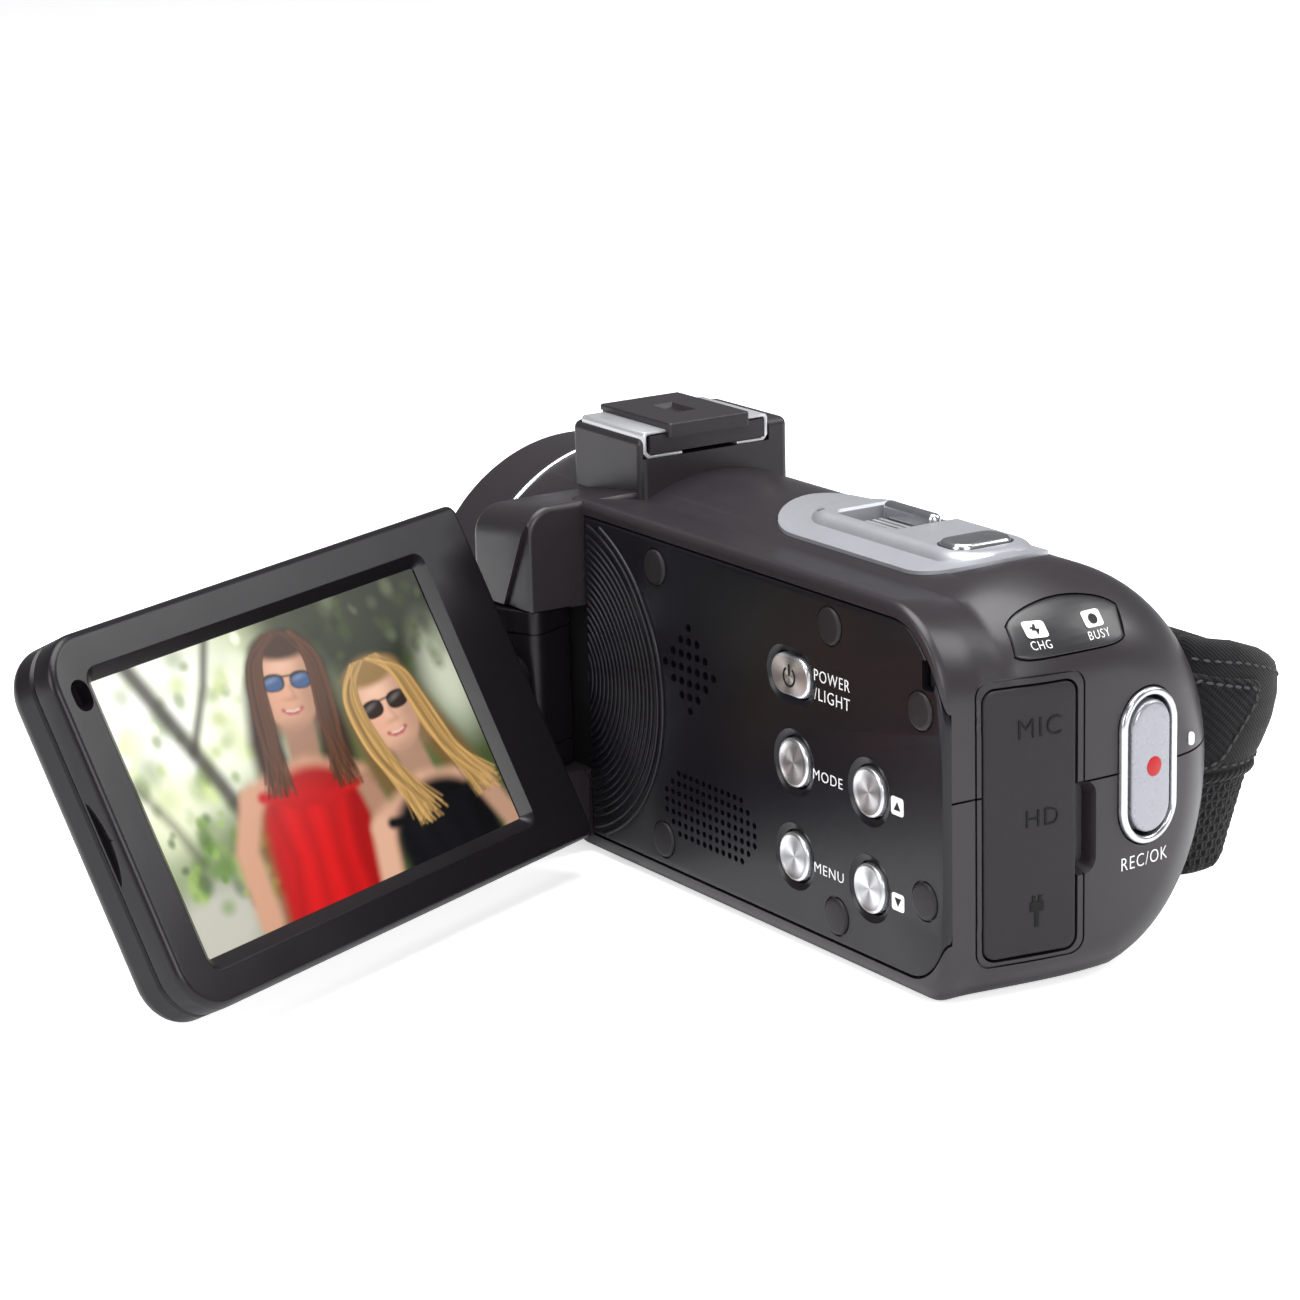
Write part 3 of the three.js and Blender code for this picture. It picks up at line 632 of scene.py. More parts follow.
# Geometry-node graphs for repeated features; each is turned into a plain mesh
def grown(name, build, source=None, **values):
    group = bpy.data.node_groups.new(name, "GeometryNodeTree")
    group.interface.new_socket(name="Geometry", in_out="INPUT", socket_type="NodeSocketGeometry")
    group.interface.new_socket(name="Geometry", in_out="OUTPUT", socket_type="NodeSocketGeometry")
    sockets = {key: group.interface.new_socket(name=key, in_out="INPUT", socket_type="NodeSocketFloat")
               for key in values}
    tools = Maker(group)
    given = group.nodes.new("NodeGroupInput")
    wires = {key: Wire(tools, given.outputs[key]) for key in values}
    wires["Geometry"] = Wire(tools, given.outputs["Geometry"])
    result = build(tools, wires)
    target = group.nodes.new("NodeGroupOutput")
    group.links.new(result.socket, target.inputs[0])
    obj = source or linked(name, bpy.data.meshes.new(name))
    step = obj.modifiers.new(name, "NODES")
    step.node_group = group
    for key, value in values.items():
        step[sockets[key].identifier] = float(value)
    return bake(obj)


def onSide(tools, geometry, centre):
    moved = (body["sideX"] * mm, centre[0] * mm, centre[1] * mm)
    inputs = {"Geometry": geometry, "Rotation": (0, math.pi / 2, 0), "Translation": moved}
    return tools.make("GeometryNodeTransform", inputs)


def realized(tools, geometry, look):
    real = tools.make("GeometryNodeRealizeInstances", {"Geometry": geometry})
    return tools.make("GeometryNodeSetMaterial", {"Geometry": real, "Material": looks[look]})


def stitches(name, line, pitch, look):
    def build(tools, given):
        curve = tools.make("GeometryNodeMeshToCurve", {"Mesh": given["Geometry"]})
        spaced = tools.make("GeometryNodeResampleCurve", {"Curve": curve,
            "Length": given["Pitch"]}, mode="LENGTH")
        thread = tools.make("GeometryNodeMeshUVSphere", {"Segments": 8, "Rings": 6, "Radius": 0.5 * mm})
        slim = tools.make("GeometryNodeTransform", {"Geometry": thread, "Scale": (1.15, 0.42, 0.42)})
        along = tools.make("GeometryNodeInputTangent")
        aimed = tools.make("FunctionNodeAlignRotationToVector", {"Vector": along}, axis="X")
        spread = tools.make("GeometryNodeInstanceOnPoints", {"Points": spaced, "Instance": slim,
            "Rotation": aimed})
        return realized(tools, spread, look)
    mesh = bpy.data.meshes.new(name)
    mesh.from_pydata([tuple(float(c) * mm for c in p) for p in line],
        [(k, k + 1) for k in range(len(line) - 1)], [])
    obj = linked(name, mesh)
    grown(name, build, obj, Pitch=pitch * mm)
    return dress(obj, look, angle=80)


def holeField(name, columns, rows, pitchU, pitchV, reach, radius, centre, look):
    def build(tools, given):
        size = {"Size X": (columns - 1) * pitchU * mm, "Size Y": (rows - 1) * pitchV * mm,
                "Vertices X": columns, "Vertices Y": rows}
        grid = tools.make("GeometryNodeMeshGrid", size)
        x, y, _ = tools.split(tools.make("GeometryNodeInputPosition"))
        far = (x / (pitchU * mm)).join("ABSOLUTE") + (y / (pitchV * mm)).join("ABSOLUTE")
        drop = far.join("GREATER_THAN", reach)
        kept = tools.make("GeometryNodeDeleteGeometry", {"Geometry": grid, "Selection": drop})
        pin = tools.make("GeometryNodeMeshCylinder", {"Vertices": 12, "Radius": given["Radius"],
            "Depth": 0.003})
        spread = tools.make("GeometryNodeInstanceOnPoints", {"Points": kept, "Instance": pin})
        return realized(tools, onSide(tools, spread, centre), look)
    return grown(name, build, Radius=radius * mm)


def ridgeFan(name, count, firstR, pitch, thick, centre, look):
    def build(tools, given):
        line = tools.make("GeometryNodeMeshLine", {"Count": count, "Offset": (0, 0, 0)})
        ring = tools.make("GeometryNodeCurvePrimitiveCircle", {"Resolution": 200, "Radius": 1.0})
        order = tools.make("GeometryNodeInputIndex")
        radius = order * given["Pitch"] + firstR * mm
        spread = tools.make("GeometryNodeInstanceOnPoints", {"Points": line, "Instance": ring,
            "Scale": radius})
        curves = tools.make("GeometryNodeRealizeInstances", {"Geometry": spread})
        profile = tools.make("GeometryNodeCurvePrimitiveCircle", {"Resolution": 8, "Radius": thick * mm})
        ridges = tools.make("GeometryNodeCurveToMesh", {"Curve": curves, "Profile Curve": profile})
        turned = onSide(tools, ridges, centre)
        _, y, z = tools.split(tools.make("GeometryNodeInputPosition"))
        outside = (z - centre[1] * mm).join("ABSOLUTE").join("GREATER_THAN", 22.3 * mm)
        drop = y.join("LESS_THAN", -22.0 * mm).join("MAXIMUM", outside)
        kept = tools.make("GeometryNodeDeleteGeometry", {"Geometry": turned, "Selection": drop})
        return realized(tools, kept, look)
    return grown(name, build, Pitch=pitch * mm)


# Side panel with its keys, bumpers and perforations
keySpots = dict(mode_button=(27.5, 25.2), menu_button=(27.4, 12.4), up_button=(43.9, 25.2),
    down_button=(43.9, 12.4))
powerKey = dict(y=27.1, z=36.8, half=4.3, tall=2.7)
bumperSpots = [(-4.5, 45.1), (35.8, 45.2), (54.8, 38.3), (55.5, 13.8), (36.6, 6.7), (-3.8, 6.8)]


def powerOutline(inset=0.0):
    y, z, half, tall = powerKey.values()
    return roundRect(y - half, y + half, z - tall, z + tall, tall, inset, 14)


panel = rolled("sidePanel", panelOutline, "x", 20.7, 22.0, 0, 0.35)
tools = []
for y, z in keySpots.values():
    tools.append(lathe("keyHole", [(0, 19), (3.62, 19), (3.62, 21.55), (4.2, 21.7), (4.6, 22.05),
        (4.6, 23), (0, 23)],
                       "x", y, z, 64))
tools.append(loft("powerHole", [lift(powerOutline(-i), "x", x)
                                for i, x in ((0.32, 19), (0.32, 21.5), (0.8, 21.7),
                                    (1.2, 22.05), (1.2, 23))]))
tools.append(rolled("latchHole", lambda i: roundRect(55.2, 57.7, 41.2, 45, 0.4, i), "x", 19, 23, 0, 0))
tools.append(holeField("diamondHoles", 7, 7, 1.93, 1.93, 3.5, 0.62, (3.3, 32.4), "inkAndShade"))
tools.append(holeField("soundHoles", 7, 15, 1.42, 1.5, 8.6, 0.46, (7.6, 12.8), "inkAndShade"))
for y, z in bumperSpots:
    tools.append(lathe("bumperSeat", [(0, 21.7), (2.7, 21.7), (2.7, 23), (0, 23)], "x", y, z, 40))
combine(panel, "INTERSECT", bodySolid("panelTrim", -0.12, -24.0))
cut(panel, *tools)
dress(panel, "panel", "camera_body", ["side_panel"], "panel")
print("side panel cut", len(panel.data.polygons))
# Painted shade: a thin dark sheet behind the side panel's perforations, so the holes show black as shade would
# make them
holeShadeSheet = cuboid("panelHoleShadeSheet", 20.62, 20.68, -3, 52, 5.5, 42)
dress(holeShadeSheet, "inkAndShade")
latch = rolled("latchInsert", lambda i: roundRect(55.4, 57.5, 41.4, 44.8, 0.3, i), "x",
    20.55, 20.85, 0, 0.1)
dress(latch, "inkAndShade")
for name, count, firstR, pitch, thick in (("fineRidges", 17, 4.9, 1.0, 0.26),
        ("outerRidges", 2, 22.35, 1.2, 0.34)):
    ridges = ridgeFan(name, count, firstR, pitch, thick, (-27, body["axisZ"]), "panel")
    dress(ridges, "panel", angle=60)


def spinMap(obj, cu, cv, reach):
    mark(obj, "disc", [[((v.co.y / mm - cu) / reach, (v.co.z / mm - cv) / reach, 0)]
        for v in obj.data.vertices])


for node, (y, z) in keySpots.items():
    profile = [(0, 19.6), (3.3, 19.6), (3.3, 22.0), (3.2, 22.2), (3.0, 22.32), (2.85, 22.3), (2.7, 22.2),
               (2.0, 22.17), (1.0, 22.15), (0.3, 22.14), (0, 22.14)]
    cap = lathe(node + "Cap", profile, "x", y, z, 72)
    spinMap(cap, y, z, 3.3)
    dress(cap, "spunPaintedSheen", node.replace("button", "key"), [node], "button", angle=50)
power = rolled("powerCap", powerOutline, "x", 19.6, 22.3, 0, 0.45)
spinMap(power, powerKey["y"], powerKey["z"], powerKey["half"])
dress(power, "spunPaintedSheen", "power_key", ["power_button"], "button", angle=50)
for k, (y, z) in enumerate(bumperSpots):
    pad = lathe("bumper" + str(k + 1), [(0, 21.7), (2.45, 21.7), (2.45, 22.15), (2.25, 22.33),
        (1.9, 22.37), (0, 22.4)],
                "x", y, z, 48)
    dress(pad, "rubber", "camera_body", ["bumper_" + str(k + 1)], "rubber", angle=50)
print("keys done")


# Lettering: generic words fitted to a box, laid on a surface
frames = {
    "side": Matrix(((0, 0, 1, 0), (1, 0, 0, 0), (0, 1, 0, 0), (0, 0, 0, 1))),
    "rear": Matrix(((-1, 0, 0, 0), (0, 0, 1, 0), (0, 1, 0, 0), (0, 0, 0, 1))),
}


def wordMesh(text, thick):
    curve = bpy.data.curves.new(text, "FONT")
    curve.body = text
    curve.size = 1.0
    curve.extrude = thick
    curve.resolution_u = 3
    curve.space_character = 1.12
    curve.offset = -0.012
    obj = linked(text, curve)
    graph = bpy.context.evaluated_depsgraph_get()
    mesh = bpy.data.meshes.new_from_object(obj.evaluated_get(graph))
    points = np.array([tuple(v.co) for v in mesh.vertices])
    faces = [tuple(p.vertices) for p in mesh.polygons]
    bpy.data.objects.remove(obj)
    return points, faces


def outlineMesh(loops, thick):
    points, faces = [], []
    for ring in loops:
        first, count = len(points), len(ring)
        points += [(u, v, -thick) for u, v in ring] + [(u, v, thick) for u, v in ring]
        above = first + count
        faces += [tuple(range(first, above))[::-1], tuple(range(above, above + count))]
        faces += [(first + i, first + (i + 1) % count, above + (i + 1) % count, above + i)
            for i in range(count)]
    return np.array(points, dtype=float), faces


def ringBand(cu, cv, rIn, rOut, start, end, steps=24):
    out, inn = arc(cu, cv, rOut, start, end, steps), arc(cu, cv, rIn, end, start, steps)
    return [tuple(p) for p in np.concatenate([out, inn])]


def bar(u0, u1, v0, v1):
    return [(u0, v0), (u1, v0), (u1, v1), (u0, v1)]


iconShapes = {
    "power": [ringBand(0, 0, 0.72, 0.95, 2.15, 7.27), bar(-0.13, 0.13, 0.1, 1.15)],
    "up": [[(-0.55, -0.4), (0.55, -0.4), (0, 0.55)]],
    "down": [[(-0.55, 0.4), (0, -0.55), (0.55, 0.4)]],
    "plug": [bar(-0.16, 0.16, -1.5, 0.0), bar(-0.55, 0.55, 0.0, 0.9), bar(-0.38, -0.14, 0.9, 1.5),
        bar(0.14, 0.38, 0.9, 1.5)],
    "bolt": [[(-0.1, 1.0), (-0.55, -0.1), (-0.05, -0.1), (0.1, -1.0), (0.55, 0.15),
        (0.05, 0.15), (0.15, 1.0)]],
    "lamp": [[tuple(p) for p in arc(0, 0, 0.8, 0, 2 * math.pi * 23 / 24, 23)]],
    "square": [[tuple(p) for p in roundRect(-1, 1, -1, 1, 0.35)]],
}


def place(name, source, target, side, look, bodyName, height, thick=0.02, tree=None):
    icon = iconShapes.get(source)
    points, faces = outlineMesh(icon, 0.01) if icon else wordMesh(source, 0.01)
    u0, u1, v0, v1 = target
    low, high = points.min(axis=0), points.max(axis=0)
    span = np.maximum(high - low, 1e-6)
    flat = (points - low) / span
    u = u0 + (u1 - u0) * flat[:, 0]
    v = v0 + (v1 - v0) * flat[:, 1]
    w = height + thick * (flat[:, 2] * 2 - 1)
    if tree is not None:
        for k in range(len(u)):
            hit = tree.ray_cast(Vector((-u[k], 90, v[k])) * mm, Vector((0, -1, 0)))
            if hit[0] is not None:
                w[k] += hit[0].y / mm
    obj = addMesh(name, np.stack([u, v, w], axis=1), faces, frames[side])
    return dress(obj, look, bodyName, angle=30)


sideWords = [
    ("POWER", (32.3, 40.0, 37.35, 38.9)), ("/LIGHT", (32.3, 40.0, 34.85, 36.45)),
    ("MODE", (31.8, 38.2, 24.1, 25.5)), ("MENU", (31.8, 38.2, 11.5, 12.85)),
    ("square", (48.6, 51.2, 23.6, 26.0)), ("square", (48.6, 51.2, 11.0, 13.3)),
]
for k, (text, target) in enumerate(sideWords):
    place("sideWord" + str(k), text, target, "side", "print", "camera_body", 22.02)
place("upMark", "up", (49.2, 50.6, 24.25, 25.4), "side", "inkAndShade", "camera_body", 22.05)
place("downMark", "down", (49.2, 50.6, 11.55, 12.7), "side", "inkAndShade", "camera_body", 22.05)
place("powerMark", "power", (25.7, 28.5, 35.3, 38.4), "side", "inkAndShade", "power_key", 22.32)
print("side words done")


# Rear pieces
flap = rearPlate("portFlap", lambda i: roundRect(2.9, 15.9, 5.6, 40.6, 1.6, i), -1.6, 0.05, 0.3, onRear)
dress(flap, "rubber", "port_flap", ["port_cover"], "rubber", angle=50)
flapTree = treeOf(flap)
for text, target in (("MIC", (-11.2, -5.2, 34.0, 36.5)), ("HD", (-10.2, -5.6, 22.4, 24.6)),
        ("plug", (-9.6, -7.7, 9.2, 13.3))):
    place("flap" + text.title(), text, target, "rear", "emboss", "port_flap", 0.0, 0.12, flapTree)
window = rearPlate("indicatorPane", windowOutline, -0.8, 0.12, 0.25, onDome)
dress(window, "smoke", "camera_body", ["indicator_window"], "glass_dark", angle=50)
rearWords = [
    ("square", (-8.2, -5.4, 46.05, 47.85), "print", 0.26), ("bolt",
        (-7.3, -6.3, 46.35, 47.55), "inkAndShade", 0.31),
    ("CHG", (-8.2, -5.5, 44.75, 45.7), "print", 0.18),
    ("square", (0.2, 3.2, 46.25, 48.05), "print", 0.26), ("lamp", (1.0, 2.4, 46.6, 47.7), "inkAndShade", 0.31),
    ("BUSY", (0.1, 3.6, 44.9, 45.85), "print", 0.18),
]
paneTree = treeOf(window)
for k, (text, target, look, rise) in enumerate(rearWords):
    place("paneMark" + str(k), text, target, "rear", look, "camera_body", rise - 0.14, 0.02, paneTree)
place("recWord", "REC/OK", (4.5, 12.8, 14.0, 15.7), "rear", "print", "camera_body", 0.02, 0.02, rearTree)

recordX, recordZ = recordSpot["x"], recordSpot["z"]
recordAt = Matrix.Translation((recordX, float(rearFace(np.array(recordX))), recordZ))
recordTurn = Matrix.Rotation(math.atan(16 / body["bow"]), 4, "Z")
recordMatrix = recordAt @ recordTurn @ Matrix.Translation((-recordX, 0, -recordZ))
ringRings = [lift(stadium(i), "y", y) for i, y in (
    (0, -2.4), (0, 0.2), (0.12, 0.5), (0.4, 0.64), (0.8, 0.6), (1.0, 0.45), (1.1, 0.0), (1.12, -2.4))]
recordRing = loft("recordRing", ringRings, closed=True, matrix=recordMatrix)
dress(recordRing, "chrome", "camera_body", ["record_bezel"], "chrome", angle=60)
recordCap = rolled("recordCap", lambda i: stadium(i + 1.6), "y", -2.2, 0.85, 0, 0.6,
    matrix=recordMatrix, dome=0.12)
dress(recordCap, "key", "record_key", ["record_button"], "silver", angle=50)
recordDot = lathe("recordDot", [(0, 0.4), (1.3, 0.4), (1.3, 1.0), (1.15, 1.06), (0, 1.1)], "y", -9.2,
    27.2, 40, recordMatrix)
dress(recordDot, "red", "record_key", ["record_mark"], "red", angle=50)
# A small white raised dot on the rear casing near the seam
lamp = rolled("sideWhiteDot", lambda i: roundRect(-18.0, -17.0, 27.9, 29.7, 0.5, i, 6), "y", 0, 0.35, 0, 0.25,
              matrix=Matrix.Translation((0, 59.55, 0)))
dress(lamp, "print", angle=50)
print("rear done")


# Top plate, zoom lever and photo key
plate = lensTurned("topPlate", [(25.7, -2), (26.95, -2), (26.95, 50), (25.7, 50), (25.7, -2)], 260)
combine(plate, "INTERSECT", loft("plateTool", [lift(plateOutline(0), "z", z) for z in (45, 60)]))
raised = rolled("raisedDeck", lambda i: roundRect(-7.3, 7.3, 6.6, 44.6, 6.4, i, 16), "z", 51.2, 53.35,
    0, 2.0, steps=9)
combine(plate, "UNION", raised)
leverHole = loft("leverHole", [lift(roundRect(-7.2, 4.4, 12.4, 25.8, 1.5, i), "z", z)
                               for i, z in ((0, 45), (0, 53.0), (-0.6, 53.6), (-0.6, 55))])
photoHole = rolled("photoHole", lambda i: roundRect(-4.5, 5.5, 34.9, 41.3, 2.4, i), "z", 45, 60, 0, 0)
pinHole = lathe("pinHole", [(0, 51), (0.55, 51), (0.55, 60), (0, 60)], "z", 5.0, 10.3, 24)
cut(plate, leverHole, photoHole, pinHole)
dress(plate, "silver", "camera_body", ["top_plate"], "silver", angle=38, weighted=True)

lever = dict(x=-3.6, half=0.95, y0=13.5, y1=24.7, topZ=53.95)
floor = lensTurned("leverFloor", [(24.1, 11), (25.2, 11), (25.2, 27.2), (24.1, 27.2), (24.1, 11)], 260)
combine(floor, "INTERSECT", cuboid("floorTool", -7.9, 4.5, 9, 29, 40, 60))
bars = [cuboid("bar", -6.6 + 1.1 * k, -6.0 + 1.1 * k, 14.2, 24.2, 49, 51.75) for k in range(10)]
combine(floor, "UNION", *bars)
dress(floor, "steel", "zoom_rocker", angle=30)
thumb = rolled("leverThumb", lambda i: roundRect(lever["x"] - lever["half"],
                                                 lever["x"] + lever["half"], lever["y0"],
                                                 lever["y1"], 0.9, i), "z", 50, lever["topZ"], 0, 0.8)
dress(thumb, "chrome", "zoom_rocker", ["zoom_lever"], "chrome", angle=50)
photoCap = rolled("photoCap", lambda i: roundRect(-4.2, 5.2, 35.2, 41.0, 2.2, i), "z", 51, 54.0, 0,
    0.7, dome=0.15)
dress(photoCap, "chrome", "photo_key", ["photo_button"], "chrome", angle=50)
print("top plate done")

# Accessory shoe
shoe = dict(x=0.9, near=11.7, far=-13.4, frontY=-40.0, backY=-22.0, topZ=58.5, channelZ=55.5)
sx = shoe["x"]
base = rolled("shoeBase", lambda i: roundRect(sx + shoe["far"], sx + shoe["near"], shoe["frontY"],
    shoe["backY"], 1.2, i),
              "z", 46, shoe["topZ"], 0, 1.1)
cut(base, cuboid("shoeChannel", sx - 10.0, sx + 11.2, shoe["frontY"] + 1.6, 0, shoe["channelZ"], 70),
    lensTurned("shoeBore", [(0, -60), (26.3, -60), (26.3, 0), (0, 0)]))
dress(base, "body", "camera_body", ["shoe_base"], "body", angle=38, weighted=True)
for side, reach, node in ((1, 11.1, "shoe_rail_left"), (-1, 9.9, "shoe_rail_right")):
    outline = np.array([(reach - 0.7, 55.5), (reach, 56.3), (reach, 58.9), (reach - 0.3, 59.3),
                        (5.6, 59.3), (5.6, 58.85),
                        (reach - 0.8, 58.85), (reach - 0.55, 58.6), (reach - 0.55, 56.6),
                        (reach - 1.1, 55.95), (4.6, 55.95), (4.6, 55.5)])
    outline[:, 0] = sx + side * outline[:, 0]
    rail = loft(node + "Bar", [lift(outline, "y", y) for y in (-38.2, -22.15)])
    edge = rail.modifiers.new("edge", "BEVEL")
    edge.width, edge.segments, edge.limit_method = 0.14 * mm, 2, "ANGLE"
    bake(rail)
    dress(rail, "steel", "camera_body", [node], "steel", angle=30)
tongue = cuboid("shoeTongue", sx - 9.1, sx + 10.2, -37.6, -21.8, 56.15, 58.7)
cover = rolled("shoeCover", lambda i: roundRect(sx - 6.1, sx + 7.4, -39.3, -21.0, 0.5, i), "z",
    58.3, 60.3, 0, 0.3)
combine(cover, "UNION", tongue)
cut(cover, loft("thumbSlot", [lift(roundRect(sx - 1.2, sx + 2.2, -33.5, -27.0, 0.3, i), "z", z)
                              for i, z in ((0.5, 59.6), (0, 60.35), (0, 62))]),
    cuboid("coverRelief", sx - 12, sx + 12, -45, -38.4, 50, 59.5))
dress(cover, "body", "shoe_cover_slide", ["shoe_cover"], "body", angle=30, weighted=True)
print("shoe done")

# Lens end
hoodProfile = [(21.4, -61.0), (21.6, -61.6), (22.1, -61.95), (24.7, -61.95), (25.2, -61.8),
    (25.45, -61.3)]
hoodProfile += [(25.5 + 0.75 * t, -61.0 + 11.6 * t) for t in np.linspace(0, 1, 9)]
hoodProfile += [(26.3, -49.3), (26.3, -49.05), (21.4, -49.0), (21.4, -61.0)]
dress(lensTurned("lensHood", hoodProfile), "body", "camera_body", ["lens_hood"], "body", angle=40)
ringProfile = [(24.0, -48.85), (26.4, -48.85), (26.75, -48.6), (26.75, -48.2), (26.4, -47.95),
    (24.0, -47.95), (24.0, -48.85)]
dress(lensTurned("chromeRing", ringProfile), "chrome", "camera_body", ["chrome_ring"], "chrome", angle=60)
trimProfile = [(21.3, -60.6), (20.7, -60.6)]
for k in range(6):
    trimProfile += [(20.5 - 0.62 * k, -60.0 + 0.85 * k), (20.1 - 0.62 * k, -59.9 + 0.85 * k)]
trimProfile += [(15.6, -54.9), (14.2, -54.2), (14.2, -49.4), (21.3, -49.4), (21.3, -60.6)]
dress(lensTurned("lensTrim", trimProfile), "panel", "camera_body", ["lens_trim"], "body", angle=25)
glassProfile = [(0, -54.6)] + [(13.9 * math.sin(t), -54.6 + 2.4 * (1 - math.cos(t * 1.2)))
    for t in np.linspace(0.1, 1.2, 12)]
glassProfile += [(13.9, -50.2), (0, -50.2)]
dress(lensTurned("frontGlass", glassProfile, 120), "lens", "camera_body", ["front_glass"],
    "lens_glass", angle=50)
print("lens done")

# Fold-out screen, in its own frame: +y towards the free end, -x is the picture side
hinge = dict(x=26.8, y=-29.3, z=26.65, open=66.7, tilt=26.7)
swing = Matrix.Translation((hinge["x"], hinge["y"],
    hinge["z"])) @ Matrix.Rotation(-math.radians(hinge["open"]), 4, "Z")
lid = swing @ Matrix.Rotation(math.radians(hinge["tilt"]), 4, "Y")
lcd = dict(y0=7.0, y1=92.8, z0=-24.75, z1=25.05, midY=52.6, wide=66.0, tall=37.1)


def lidOutline(inset=0.0):
    y0, y1, z0, z1 = lcd["y0"] + inset, lcd["y1"] - inset, lcd["z0"] + inset, lcd["z1"] - inset
    far, near = max(0.3, 6.5 - inset), max(0.3, 1.6 - inset)
    q = math.pi / 2
    corners = [(y1 - far, z0 + far, far, -q), (y1 - far, z1 - far, far, 0),
               (y0 + near, z1 - near, near, q), (y0 + near, z0 + near, near, 2 * q)]
    return np.concatenate([arc(cy, cz, r, a, a + q, 12) for cy, cz, r, a in corners])


def pictureOutline(grow=0.0):
    a, b = lcd["wide"] / 2 + grow, lcd["tall"] / 2 + grow
    return roundRect(lcd["midY"] - a, lcd["midY"] + a, -b, b, 0.3 + grow, 0, 12)


q = math.pi / 2
bezelRings = [lift(lidOutline(0.3), "x", -0.55), lift(lidOutline(0.0), "x", -0.95)]
bezelRings += [lift(lidOutline(1.0 * (1 - math.cos(t))), "x", -3.3 - 1.0 * math.sin(t))
    for t in np.linspace(0, q, 6)]
bezelRings += [lift(pictureOutline(g), "x", x) for g, x in ((1.75, -4.3), (1.6, -4.27), (0.1, -3.15),
    (0, -3.02), (0, -0.55))]
bezel = loft("lidBezel", bezelRings, closed=True, matrix=lid)
latchHole = rolled("lidLatch", lambda i: roundRect(87.5, 90.6, 15.2, 19.3, 1.5, i), "x", -6, -2.3,
    0, 0, matrix=lid)
nail = lathe("lidNail", [(0, -3.2), (19.6, -3.2), (20.4, -1.5), (20.4, -1.2), (0, -1.2)], "x", 112.4,
    -0.6, 160, lid)
cut(bezel, latchHole, nail)
dress(bezel, "bezel", "lcd_panel", ["lcd_bezel"], "body", angle=38, weighted=True)
shellRings = [lift(lidOutline(0.35), "x", -0.45), lift(lidOutline(0.0), "x", -0.1),
    lift(lidOutline(0.0), "x", 2.2)]
shellRings += [lift(lidOutline(2.8 * (1 - math.cos(t))), "x", 2.2 + 2.5 * math.sin(t))
    for t in np.linspace(0.12, q, 9)]
shellRings += [lift(lidOutline(4.6), "x", 4.7), lift(lidOutline(4.75), "x", 4.6),
               lift(lidOutline(5.0), "x", 4.6), lift(lidOutline(5.15), "x", 4.7)]
backShell = loft("lidShell", shellRings, matrix=lid)
cut(backShell, lathe("boreTool", [(0, 0), (3.5, 0), (3.5, 12), (0, 12)], "y", 0, 0, 48, lid))
dress(backShell, "bezel", "lcd_panel", ["lcd_back_shell"], "body", angle=38, weighted=True)

# Painted shade: a thin dark sheet on the hinge pocket floor, which lies in shade behind the hinge post
hingeShadeSheet = cuboid("hingePocketShadeSheet", 21.02, 21.4, -34.8, -22.55, 12.4, 36.2)
dress(hingeShadeSheet, "inkAndShade")


def postOutline(inset=0.0):
    return roundRect(-4.2, 4.2, -4.6, 4.6, 1.8, inset)


arm = rolled("hingePost", postOutline, "z", -13.95, 9.3, 0.3, 0.3, matrix=swing)
seams = [loft("postSeam", [lift(postOutline(i), "z", z) for i, z in ((-1, h), (-1, h + 0.25),
    (0.3, h + 0.25), (0.3, h))],
              closed=True, matrix=swing) for h in (-10.6, 5.9)]
cut(arm, *seams)
dress(arm, "bezel", "lcd_arm", ["hinge_arm"], "body", angle=40)
knuckle = lathe("tiltKnuckle", [(0, 4.9), (2.9, 4.9), (3.15, 5.1), (3.15, 6.4), (2.9, 6.7), (2.4, 6.8),
    (2.4, 11), (0, 11)],
                "y", 0, 0, 56, swing)
dress(knuckle, "bezel", "lcd_tilt_block", ["tilt_barrel"], "body", angle=40)


# Hand strap: a woven padded flap over an open spacer mesh, in its own coordinates (length s, height z, depth)
def chaikin(points, rounds=4):
    for _ in range(rounds):
        a, b = points[:-1], points[1:]
        inner = np.stack([0.75 * a + 0.25 * b, 0.25 * a + 0.75 * b], axis=1).reshape(-1, 2)
        points = np.concatenate([points[:1], inner, points[-1:]])
    return points


strapLine = chaikin(np.array([(-22.8, 50.4), (-26.5, 51.9), (-30, 52.4), (-34.8, 52.2), (-39.9, 50.2),
                              (-44.0, 46.0), (-46.4, 39), (-47.2, 30),
                              (-47.2, 16), (-46.2, 2), (-43, -14), (-37.5, -24.5), (-32.5, -31),
                              (-27.5, -35.2)], dtype=float))
strapRun = np.concatenate([[0], np.cumsum(np.hypot(*np.diff(strapLine, axis=0).T))])
strapLong = strapRun[-1]


def strapPoint(s, z, depth):
    x, y = np.interp(s, strapRun, strapLine[:, 0]), np.interp(s, strapRun, strapLine[:, 1])
    ahead, back = np.clip(s + 0.6, 0, strapLong), np.clip(s - 0.6, 0, strapLong)
    tx = np.interp(ahead, strapRun, strapLine[:, 0]) - np.interp(back, strapRun, strapLine[:, 0])
    ty = np.interp(ahead, strapRun, strapLine[:, 1]) - np.interp(back, strapRun, strapLine[:, 1])
    size = np.hypot(tx, ty)
    heights = [2, 5, 12, 18, 22, 25, 28, 32, 40]
    lean = np.interp(z, heights, [-8.6, -7.6, -5.2, -3.3, -1.7, -0.6, 0, 0.2, -0.8])
    hold = np.interp(s, [0, 10, 20, strapLong - 18, strapLong], [0.35, 0.6, 1.0, 0.9, 0.4])
    out = lean * hold - depth
    return np.stack([x + ty / size * out, y - tx / size * out, z + 0 * x], axis=-1)


